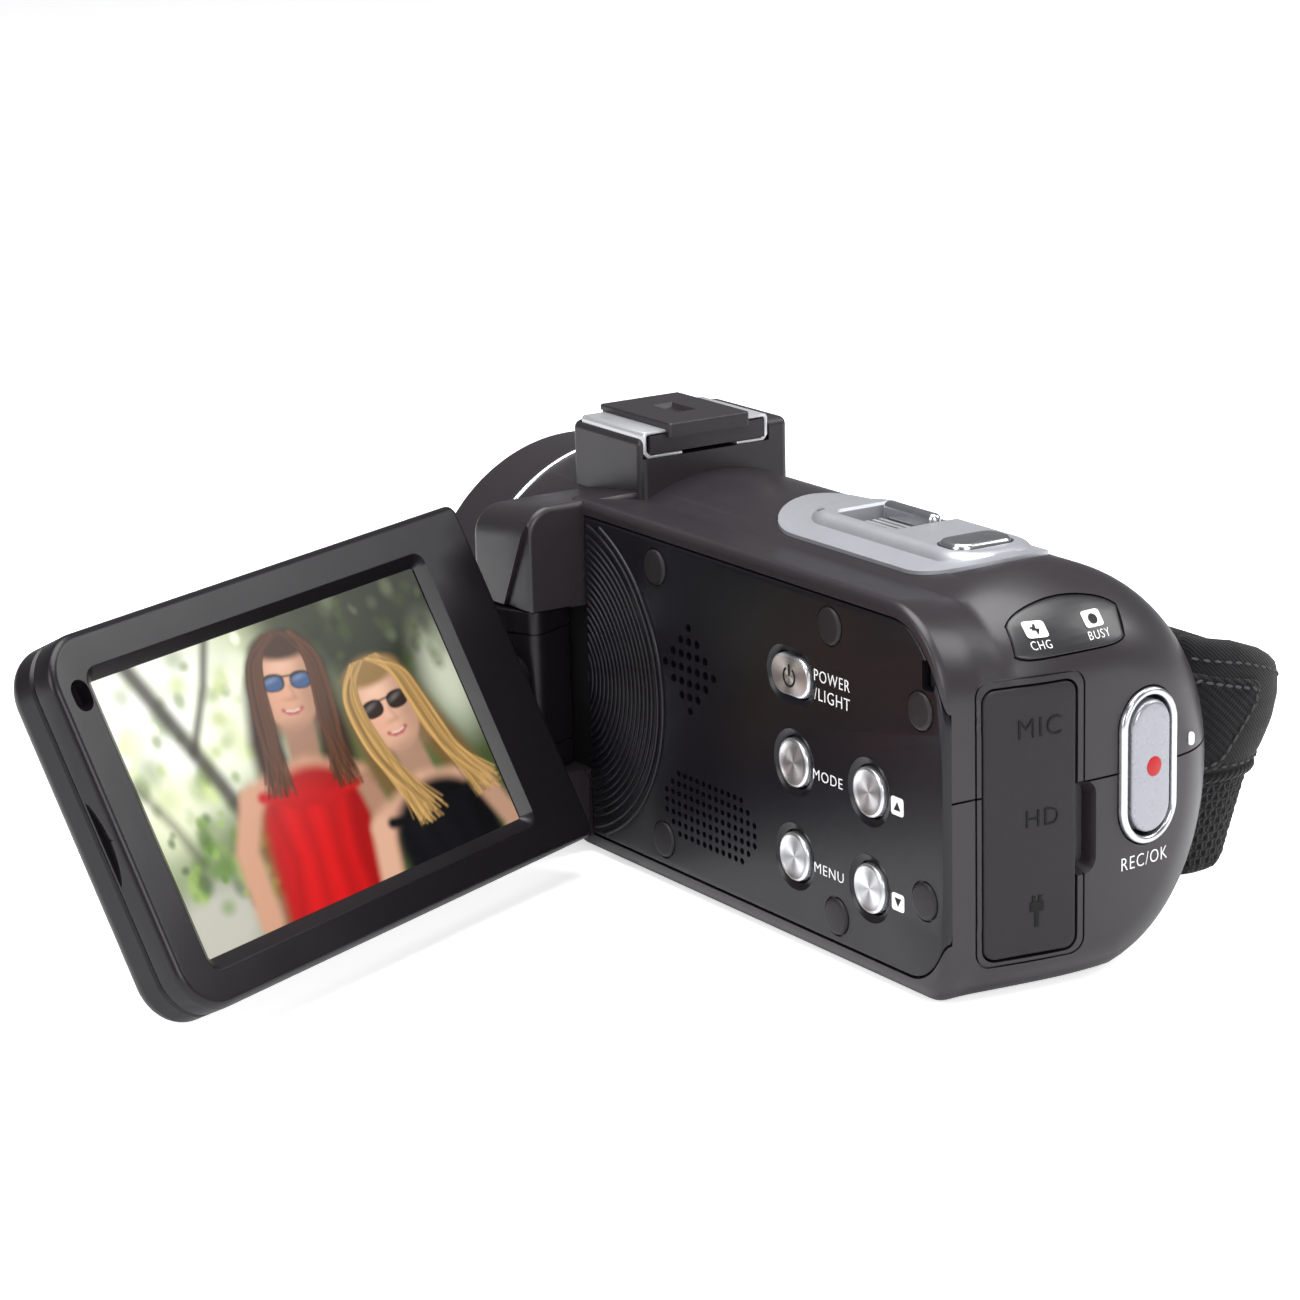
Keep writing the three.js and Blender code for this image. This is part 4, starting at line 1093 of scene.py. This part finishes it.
def topEdge(s):
    return np.interp(s, [0, 4, 10, 16, 23, 32, strapLong - 25, strapLong],
        [39.6, 38.6, 37.4, 35.4, 32.4, 31.2, 31.2, 34.0])


def middleEdge(s):
    return 18.3 + 0.5 * np.cos(s * 0.11)


def lowEdge(s):
    return np.interp(s, [0, 12, 30, strapLong - 20, strapLong], [5.6, 5.0, 5.2, 5.4, 8.0])


def padStrip(name, lower, upper, depth, thick, s0, s1, count, look, crown=0.0, ripple=0.0):
    half = thick / 2
    rings, marks = [], []
    ends = [(s0 - half * math.cos(t) + half, math.sin(t)) for t in np.linspace(0.15, math.pi / 2, 5)]
    ends += [(s, 1.0) for s in np.linspace(s0 + half, s1 - half, count)[1:-1]]
    ends += [(s1 + half * math.cos(t) - half, math.sin(t)) for t in np.linspace(math.pi / 2, 0.15, 5)]
    w = np.linspace(0, 1, 30)
    turn = np.linspace(0, math.pi, 8)[1:-1]
    for s, fat in ends:
        za, zb = lower(s) + half, upper(s) - half
        bulge = crown * (1 - (2 * w - 1) ** 4)
        face = np.stack([za + (zb - za) * w, -half - bulge], axis=1)
        top = np.stack([zb + half * np.sin(turn), -half * np.cos(turn)], axis=1)
        inner = np.stack([zb + (za - zb) * w, half + 0 * w], axis=1)
        foot = np.stack([za - half * np.sin(turn), half * np.cos(turn)], axis=1)
        ring = np.concatenate([face, top, inner, foot])
        girth = np.concatenate([[0], np.cumsum(np.hypot(*np.diff(ring, axis=0).T))])
        wave = ripple * np.sin(s * 2.9) * np.sin(girth * 2.9)
        centre = (za + zb) / 2
        z = centre + (ring[:, 0] - centre) * (1 - (1 - fat) * half / max(1.0, (zb - za) / 2 + half))
        rings.append(strapPoint(np.full(len(ring), s), z, depth + half + ring[:, 1] * fat + wave))
        marks.append(np.stack([np.full(len(ring), s), girth, 0 * girth], axis=1))
    obj = loft(name, rings)
    mark(obj, "weave", marks)
    return dress(obj, look, angle=70)


def strapPlate(name, outline, low, high, rim, look):
    top = outline(rim)
    centre = top.mean(axis=0)
    flats = [centre + (top - centre) * k for k in np.linspace(0.94, 0.03, 14)]
    stack = [(ring, low) for ring in flats[::-1]]
    stack += [(outline(inset), level) for inset, level in rimLevels(rim, low, high, 5)]
    stack += [(ring, high) for ring in flats]
    obj = loft(name, [strapPoint(ring[:, 0], ring[:, 1], np.full(len(ring), -level)) for ring, level in stack])
    mark(obj, "weave", [np.stack([ring[:, 0], ring[:, 1], 0 * ring[:, 0]], axis=1) for ring, _ in stack])
    return dress(obj, look, angle=50)


def strapCord(name, height, depth, radius, s0, s1, count, look):
    t = np.linspace(0, 2 * math.pi, 10, endpoint=False)
    runs = np.linspace(s0, s1, count)
    rings = [strapPoint(np.full(10, s), height(s) + radius * np.sin(t),
        depth + radius * np.cos(t)) for s in runs]
    obj = loft(name, rings)
    mark(obj, "weave", [np.stack([np.full(10, s), t * radius, 0 * t], axis=1) for s in runs])
    return dress(obj, look, angle=60)


def polygonOutline(corners, r, inset=0.0, steps=6):
    corners = np.array(corners, dtype=float)
    centre = corners.mean(axis=0)
    ring = []
    for k, corner in enumerate(corners):
        before, after = corners[k - 1] - corner, corners[(k + 1) % len(corners)] - corner
        start = corner + before / np.linalg.norm(before) * r
        end = corner + after / np.linalg.norm(after) * r
        for t in np.linspace(0, 1, steps + 1):
            ring.append((1 - t) ** 2 * start + 2 * t * (1 - t) * corner + t * t * end)
    ring = np.array(ring)
    reach = np.linalg.norm(ring - centre, axis=1, keepdims=True)
    return centre + (ring - centre) * (1 - inset / reach)


flap = padStrip("strapFlap", middleEdge, topEdge, 0.0, 3.4, 0.4, strapLong - 0.6, 190,
    "weave", crown=0.35)
spacer = padStrip("strapSpacer", lowEdge, lambda s: 19.6, 0.3, 2.6, 1.6, strapLong - 2.4, 330,
    "spacer", ripple=0.16)
for part, fill in ((flap, 0.5), (spacer, 0.4)):
    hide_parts("strap_pad")
strapCord("flapBinding", lambda s: middleEdge(s) + 0.5, 0.2, 0.75, 1.0, strapLong - 1.4, 160, "webbing")
strapCord("spacerBinding", lambda s: lowEdge(s) + 0.5, 1.6, 0.7, 2.2, strapLong - 3.0, 160, "webbing")
patchCorners = [(1.0, 34.8), (12.6, 32.0), (12.4, 29.6), (6.4, 20.9), (1.0, 19.6)]
patch = strapPlate("strapPatch", lambda i: polygonOutline(patchCorners, 1.2, i), -0.8, 1.15,
    0.7, "webbing")
closureSpan = (33.0, strapLong - 24)
closure = strapPlate("strapClosure", lambda i: roundRect(*closureSpan, 20.6, 28.9, 2.6, i, 10), -0.8,
    1.25, 0.6, "webbing")


def strapLineOf(outline, level, closed):
    ring = np.concatenate([outline, outline[:1]]) if closed else outline
    dense = [a + (b - a) * t for a, b in zip(ring, ring[1:]) for t in np.linspace(0, 1,
        6)[:-1]] + [ring[-1]]
    dense = np.array(dense)
    return strapPoint(dense[:, 0], dense[:, 1], np.full(len(dense), -level))


runs = np.linspace(2.5, strapLong - 3, 150)
seamLines = dict(
    patch=(polygonOutline(patchCorners, 1.2, 1.25), 1.22, True, 1.5),
    closure=(roundRect(*closureSpan, 20.6, 28.9, 2.6, 1.2, 10), 1.3, True, 1.7),
    upper=(np.stack([runs, topEdge(runs) - 2.7], axis=1), 0.22, False, 1.7),
    lower=(np.stack([runs, middleEdge(runs) + 2.0], axis=1), 0.16, False, 1.7))
for name, (outline, level, closed, pitch) in seamLines.items():
    stitches(name + "Stitches", strapLineOf(outline, level, closed), pitch, "thread")
for node in ("strap_lug_rear", "strap_lug_front"):
    low, high = boxOf(node)
    y0, y1 = (low[1] + 0.1, high[1] - 0.9) if low[1] > 0 else (low[1] + 0.9, high[1] - 0.1)
    lug = rolled(node + "Frame", lambda i: roundRect(low[0], high[0], low[2] + 2.4, high[2] - 1.0, 1.6,
        i), "y", y0, y1, 0.3, 0.3)
    cut(lug, rolled("lugSlot", lambda i: roundRect(low[0] + 1.3, high[0] - 1.9, low[2] + 4.0,
        high[2] - 2.6, 0.6, i), "y", -80, 80, 0, 0))
    dress(lug, "bezel", "camera_body", [node], "body", angle=45)
for node in ("strap_tab_rear", "strap_tab_front"):
    low, high = boxOf(node)
    y0, y1 = (low[1] - 0.6, high[1] - 2.6) if low[1] > 0 else (low[1] + 2.6, high[1] + 0.6)
    tab = rolled(node + "Web", lambda i: roundRect(low[0] - 1.0, high[0] + 0.6, low[2] + 1.6, high[2],
        0.8, i), "y", y0, y1, 0.5, 0.5)
    mark(tab, "weave", [[((v.co.x + v.co.y) / mm, v.co.z / mm, 0)] for v in tab.data.vertices])
    dress(tab, "webbing", "camera_body", [node], "fabric", angle=45)
print("strap done", round(strapLong, 1))

# Underside
door = rolled("batteryDoor", lambda i: roundRect(-3.5, 16.0, 12.0, 48.0, 2.4, i), "z", 0.1, 1.5, 0.3, 0)
grips = [cuboid("grip", 1.2, 11.3, 41.0 + 1.3 * k, 41.6 + 1.3 * k, -1, 0.5) for k in range(4)]
arrow = loft("doorArrow", [lift(np.array([(4.4, 38.9), (8.1, 38.9), (6.25, 36.6)]), "z", z)
    for z in (-1, 0.35)])
cut(door, arrow, *grips)
dress(door, "body", "battery_flap", ["battery_door"], "body", angle=38)
threadProfile = [(5.0, 0.25), (4.75, 0.0), (3.5, 0.0), (3.2, 0.35)]
for k in range(5):
    threadProfile += [(3.2, 0.6 + 1.27 * k), (2.75, 1.05 + 1.27 * k), (2.75, 1.25 + 1.27 * k),
        (3.2, 1.7 + 1.27 * k)]
threadProfile += [(3.2, 7.6), (5.0, 7.6), (5.0, 0.25)]
dress(lathe("tripodInsert", threadProfile, "z", 8, -14, 64), "steel", "camera_body", ["tripod_socket"],
    "steel", angle=35)

nodeLooks = dict(battery="panel", port_board="board", main_board="board", sensor_board="board",
                 lcd_board="board",
                 mic_jack="inkAndShade", hd_socket="steel", usb_socket="steel", speaker="bezel",
                 microphone="steel", lens_barrel="panel", rear_lens="lens", hinge_pin="steel")
for node, look in nodeLooks.items():
    piece = frame["nodes"][node]
    piece.data.materials.clear()
    piece.data.materials.append(looks[look])
print("underside done")


# The picture on the display: a blurred park with two invented figures, painted by formula
def smooth(value, low, high):
    t = np.clip((value - low) / (high - low), 0, 1)
    return t * t * (3 - 2 * t)


class Mask:
    def __init__(self, area, values):
        self.area, self.values = area, values

    def __mul__(self, amount):
        return Mask(self.area, self.values * amount)


class Canvas:
    def __init__(self, u, v):
        self.across, self.v = u, v
        self.color = np.zeros((len(v), len(u), 3))
        self.widen(0.0, 1.0)

    def widen(self, centre, times):
        self.u = centre + (self.across - centre) / times

    def lay(self, mask, color):
        cover = np.clip(mask.values, 0, 1)[..., None]
        self.color[mask.area] = self.color[mask.area] * (1 - cover) + np.array(color) * cover

    def near(self, u0, u1, v0, v1):
        rows = slice(*np.searchsorted(self.v, (v0, v1)))
        columns = slice(*np.searchsorted(self.u, (u0, u1)))
        return (rows, columns), self.u[None, columns], self.v[rows, None]

    def oval(self, cu, cv, ru, rv, turn=0.0, soft=0.012, power=2.0):
        reach = max(ru, rv) + 2 * soft + 0.02
        area, u, v = self.near(cu - reach, cu + reach, cv - reach, cv + reach)
        c, s = math.cos(turn), math.sin(turn)
        a, b = np.abs(((u - cu) * c + (v - cv) * s) / ru), np.abs((-(u - cu) * s + (v - cv) * c) / rv)
        distance = ((a ** power + b ** power) ** (1 / power) - 1) * min(ru, rv)
        return Mask(area, 1 - smooth(distance, -soft, soft))

    def stroke(self, points, width, soft=0.01):
        points = np.array(points)
        low, high = points.min(axis=0) - width - soft, points.max(axis=0) + width + soft
        area, u, v = self.near(low[0], high[0], low[1], high[1])
        best = np.full((v.shape[0], u.shape[1]), 9.0)
        for (u0, v0), (u1, v1) in zip(points, points[1:]):
            du, dv = u1 - u0, v1 - v0
            t = np.clip(((u - u0) * du + (v - v0) * dv) / (du * du + dv * dv + 1e-9), 0, 1)
            best = np.minimum(best, np.hypot(u - u0 - t * du, v - v0 - t * dv))
        return Mask(area, 1 - smooth(best, width - soft, width + soft))


def park(canvas):
    u, v = canvas.u[None, :], canvas.v[:, None]
    canvas.color[:] = (0.12, 0.17, 0.06)
    rng = np.random.default_rng(11)

    def leaves(count, us, vs, sizes, shades, low, high):
        for _ in range(count):
            size = rng.uniform(*sizes)
            shade = np.array(shades[rng.integers(len(shades))])
            spot = canvas.oval(rng.uniform(*us), rng.uniform(*vs), size, size * rng.uniform(0.7, 1.2),
                soft=size * 0.7)
            canvas.lay(spot * rng.uniform(low, high), shade * rng.uniform(0.8, 1.15))

    canvas.lay(Mask(slice(None), smooth(v - 0.35 * u, 0.1, 0.5)), (0.60, 0.66, 0.44))
    for cu, cv, ru, rv, turn, soft, amount, color in (
            (1.50, 0.98, 0.52, 0.46, 0, 0.16, 1.0, (0.022, 0.030, 0.012)),
            (1.12, 1.00, 0.30, 0.20, 0, 0.10, 0.9, (0.040, 0.050, 0.020)),
            (1.72, 0.30, 0.20, 0.34, 0, 0.12, 0.8, (0.060, 0.080, 0.030)),
            (0.22, 0.80, 0.42, 0.30, 0, 0.16, 1.0, (0.95, 0.97, 0.90)),
            (0.52, 0.70, 0.12, 0.17, 0, 0.09, 0.9, (0.90, 0.93, 0.74)),
            (0.10, 0.52, 0.16, 0.13, 0, 0.09, 0.85, (0.85, 0.88, 0.62)),
            (0.06, 0.05, 0.34, 0.17, 0.25, 0.08, 0.9, (0.58, 0.57, 0.50)),
            (1.72, 0.58, 0.12, 0.18, 0, 0.10, 0.8, (0.70, 0.74, 0.60))):
        canvas.lay(canvas.oval(cu, cv, ru, rv, turn, soft) * amount, color)
    leaves(90, (0, 0.75), (0.45, 1.0), (0.015, 0.05), ((0.95, 0.97, 0.80), (0.62, 0.72, 0.30),
        (0.20, 0.30, 0.08)), 0.25, 0.7)
    leaves(90, (0.05, 0.72), (0.12, 0.45), (0.012, 0.04), ((0.16, 0.30, 0.05), (0.34, 0.50, 0.12),
        (0.05, 0.10, 0.02)), 0.35, 0.8)
    leaves(70, (1.0, 1.78), (0.62, 1.0), (0.010, 0.035), ((0.015, 0.022, 0.010), (0.08, 0.12, 0.03),
        (0.28, 0.34, 0.20)), 0.2, 0.5)
    canvas.lay(canvas.stroke([(0.17, 1.02), (0.33, 0.66), (0.44, 0.40)], 0.035, 0.03) * 0.9,
        (0.035, 0.028, 0.02))
    canvas.lay(canvas.stroke([(0.33, 0.66), (0.50, 0.86), (0.60, 1.02)], 0.018, 0.02) * 0.8,
        (0.04, 0.035, 0.02))
    canvas.lay(canvas.stroke([(0.0, 0.62), (0.10, 0.45), (0.16, 0.30)], 0.02, 0.03) * 0.6,
        (0.05, 0.05, 0.03))


def figure(canvas, at, size, lean, flow, trail, skin, hair, dress, lens):
    cu, cv = at
    c, s = math.cos(lean), math.sin(lean)

    def spot(a, b):
        return cu + size * (a * c - b * s), cv + size * (a * s + b * c)

    def oval(a, b, ra, rb, color, amount=1.0, turn=0.0, soft=0.006, power=2.0):
        pu, pv = spot(a, b)
        canvas.lay(canvas.oval(pu, pv, ra * size, rb * size, lean + turn, soft, power) * amount, color)

    def line(points, width, color, amount=1.0, soft=0.004):
        canvas.lay(canvas.stroke([spot(a, b) for a, b in points], width * size, soft) * amount, color)

    def shade(color, power):
        return tuple(power * k for k in color)

    rng = np.random.default_rng(int(100 * cu))
    drop = -1.9 - 0.5 * abs(flow)
    oval(0, 0.14, 0.78, 0.93, shade(hair, 0.35), soft=0.016)
    for side in (-1, 1):
        line([(side * 0.50, 0.0), (side * 0.66 + 0.2 * flow, -1.0), (side * 0.62 + 0.8 * flow, drop)],
             0.33, shade(hair, 0.38), soft=0.03)
    line([(0.02, -0.6), (0.04, -1.4)], 0.29, shade(skin, 0.55), soft=0.014)
    line([(-1.05, -1.95), (0, -1.62), (1.02, -1.92)], 0.26, shade(skin, 0.88), soft=0.03)
    line([(0.05, -2.6), (trail * 0.5, -3.4), (trail, -4.6)], 1.05, shade(dress, 0.6), soft=0.03)
    line([(-0.2, -2.6), (trail * 0.5 - 0.25, -3.4), (trail - 0.25, -4.6)], 0.72, dress, soft=0.10)
    for k in range(7):
        fold = -0.8 + 0.27 * k
        line([(fold, -2.2), (fold * 0.8 + trail * 0.4, -3.2), (fold + trail * 0.8, -4.4)], 0.05,
             shade(dress, 0.45 + 0.9 * (k % 2)), 0.35, soft=0.02)
    line([(-1.16, -2.0), (-1.42, -2.9), (-1.25, -4.2)], 0.22, shade(skin, 0.9), soft=0.02)
    line([(1.10, -2.0), (1.36, -2.9), (1.2, -4.2)], 0.21, shade(skin, 0.62), soft=0.02)
    line([(-0.92, -1.98), (-0.3, -2.18), (0.3, -2.18), (0.9, -1.98)], 0.10,
        shade(dress, 0.85), soft=0.014)
    oval(0, -0.02, 0.565, 0.83, shade(skin, 0.74), power=2.1, soft=0.010)
    oval(-0.12, 0.02, 0.40, 0.66, skin, 0.95, soft=0.055)
    oval(0.36, -0.2, 0.16, 0.5, shade(skin, 0.52), 0.55, soft=0.045)
    oval(0.0, -0.80, 0.30, 0.09, shade(skin, 0.5), 0.6, soft=0.03)
    oval(-0.24, -0.24, 0.16, 0.11, (0.74, 0.30, 0.22), 0.25, soft=0.035)
    oval(-0.08, 0.36, 0.22, 0.10, (0.95, 0.76, 0.62), 0.30, soft=0.03)
    line([(0.04, -0.02), (0.09, -0.25)], 0.030, shade(skin, 0.5), 0.45, soft=0.012)
    oval(-0.01, -0.27, 0.10, 0.035, shade(skin, 0.5), 0.5, soft=0.012)
    line([(-0.19, -0.46), (-0.08, -0.53), (0.07, -0.53), (0.18, -0.46)], 0.036, (0.46, 0.10, 0.10),
        0.9, soft=0.006)
    line([(-0.13, -0.475), (0.0, -0.50), (0.12, -0.475)], 0.016, (0.80, 0.72, 0.68), 0.8, soft=0.004)
    line([(-0.58, 0.17), (0.58, 0.17)], 0.018, (0.02, 0.018, 0.018), 0.9)
    for side in (-1, 1):
        oval(side * 0.270, 0.07, 0.215, 0.170, (0.014, 0.011, 0.012), power=2.5, soft=0.004)
        oval(side * 0.270, 0.05, 0.180, 0.132, lens, power=2.4, soft=0.006)
        oval(side * 0.270 - 0.04, 0.12, 0.10, 0.035, tuple(min(1, k + 0.25) for k in lens), 0.6,
            0.3, soft=0.012)
    oval(0.0, 0.74, 0.56, 0.25, shade(hair, 0.6), soft=0.016)
    for k in range(170):
        side = -1 if k % 2 else 1
        root, swell = rng.uniform(0.02, 0.30), rng.uniform(0.46, 0.78)
        tip = side * (swell + rng.uniform(-0.12, 0.22)) + flow * rng.uniform(0.7, 1.2)
        wave = rng.uniform(-0.06, 0.06)
        path = [(side * root, 0.98), (side * (swell * 0.88), 0.60), (side * swell, 0.05),
                (side * swell + wave + 0.15 * flow, -0.7),
                (side * swell - wave + 0.45 * flow, -1.3), (tip, drop * rng.uniform(0.85, 1.05))]
        line(chaikin(np.array(path), 3), rng.uniform(0.008, 0.024), shade(hair, rng.uniform(0.3, 1.7)),
            rng.uniform(0.35, 0.8), soft=0.005)


def pictureColors(u, v):
    canvas = Canvas(u, v)
    park(canvas)
    canvas.widen(0.90, 1.4)
    figure(canvas, (0.90, 0.760), 0.190, -0.20, 0.10, 0.2, (0.70, 0.40, 0.27), (0.11, 0.045, 0.02),
           (0.62, 0.010, 0.012), (0.06, 0.12, 0.26))
    canvas.widen(1.34, 1.4)
    figure(canvas, (1.34, 0.560), 0.192, 0.06, 0.55, 0.1, (0.78, 0.48, 0.34), (0.52, 0.33, 0.13),
           (0.010, 0.010, 0.013), (0.040, 0.025, 0.020))
    return canvas.color ** 1.12


def pictureLook():
    look = Look("displayPicture")
    tint = look.make("ShaderNodeAttribute", output="Color", attribute_name="picture")
    dust = look.noise(600.0, 2.0)
    return look.end(Base_Color=look.blend(0.9, tint, rgb((0, 0, 0))), Roughness=0.28 + 0.05 * dust,
                    Emission_Color=tint,
                    Emission_Strength=0.95, Specular_IOR_Level=0.25,
                    Normal=look.bump(dust, 0.01, 0.00001))


columns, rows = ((357, 201))
a, b = lcd["wide"] / 2, lcd["tall"] / 2
vs, us = np.meshgrid(np.linspace(0, 1, rows), np.linspace(0, 1.779, columns), indexing="ij")
y = lcd["midY"] + a - us / 1.779 * 2 * a
z = -b + vs * 2 * b
points = np.stack([np.full(y.shape, -2.95), y, z], axis=2).reshape(-1, 3)
index = np.arange(rows * columns).reshape(rows, columns)
faces = np.stack([index[:-1, :-1], index[:-1, 1:], index[1:, 1:], index[1:, :-1]], axis=2).reshape(-1, 4)
picture = addMesh("displayPicture", points, faces.tolist(), lid)
layer = picture.data.color_attributes.new("picture", "FLOAT_COLOR", "POINT")
colors = pictureColors(us[0], vs[:, 0]).reshape(-1, 3)
layer.data.foreach_set("color", np.concatenate([colors, np.ones((len(colors), 1))],
    axis=1).astype(np.float32).ravel())
looks["picture"] = pictureLook()
dress(picture, "picture", "lcd_panel", ["display"], "screen")
print("screen done")

# Camera, light and floor
camera = bpy.data.cameras.new("camera")
camera.lens, camera.sensor_width, camera.shift_x, camera.shift_y = 111.0, 36.0, 0.0134, -0.0073
camera.clip_start, camera.clip_end = 0.01, 20
eye = linked("camera", camera)
right, down, forward = Vector((-0.83887, 0.54374, -0.02525)), Vector((0.16043, 0.20265,
    -0.96602)), Vector((-0.52015, -0.81442, -0.25724))
turn = Matrix((right, -down, -forward)).transposed().to_4x4()
eye.matrix_world = Matrix.Translation(Vector((307.17, 435.91, 174.62)) * mm) @ turn
bpy.context.scene.camera = eye


def softLight(name, at, towards, wide, tall, power):
    lamp = bpy.data.lights.new(name, "AREA")
    lamp.shape, lamp.size, lamp.size_y, lamp.energy = "RECTANGLE", wide, tall, power
    obj = linked(name, lamp)
    obj.location = at
    obj.rotation_euler = (Vector(towards) - Vector(at)).to_track_quat("-Z", "Y").to_euler()


softLight("overhead", (0.05, 0.02, 0.75), (0, 0, 0), 0.7, 0.7, 12.0)
softLight("rearFill", (0.15, 0.85, 0.35), (0, 0, 0.02), 0.5, 0.35, 4.5)
softLight("sideFill", (0.75, 0.05, 0.30), (0, 0, 0.02), 0.4, 0.4, 3.0)
softLight("farSide", (-0.6, 0.3, 0.5), (0, 0, 0.02), 0.4, 0.4, 3.5)

world = bpy.data.worlds.new("world")
bpy.context.scene.world = world
world.use_nodes = True
sky = Maker(world.node_tree)
seen = sky.make("ShaderNodeLightPath", output="Is Camera Ray")
level = seen * 0.76 + 0.24
ambient = sky.make("ShaderNodeBackground", {"Color": (0.97, 0.975, 1.0, 1), "Strength": level})
sky.links.new(ambient.socket, sky.nodes.new("ShaderNodeOutputWorld").inputs[0])
ground = addMesh("floor", [(-4000, -4000, -0.05), (4000, -4000, -0.05), (4000, 4000, -0.05),
    (-4000, 4000, -0.05)], [(0, 1, 2, 3)])
pale = Look("paleFloor")
speck = pale.noise(30.0, 2.0)
glowTint = pale.blend(pale.make("ShaderNodeLightPath", output="Is Camera Ray"), rgb((0.12, 0.12, 0.12)),
    rgb((0.62, 0.62, 0.62)))
ground.data.materials.append(pale.end(Base_Color=pale.blend(speck, rgb((0.80, 0.80, 0.81)),
    rgb((0.82, 0.82, 0.83))),
                                      Roughness=0.7, Emission_Color=glowTint, Emission_Strength=1.0))
ground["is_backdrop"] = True
bpy.context.scene.view_settings.view_transform = "Standard"


def plainLists(value):
    if isinstance(value, dict):
        return {key: plainLists(entry) for key, entry in value.items()}
    return [plainLists(entry) for entry in value] if hasattr(value, "__len__") and not isinstance(value,
        str) else float(value)


{"cad": plainLists(boundsAtLoad), "visual": plainLists(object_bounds())}
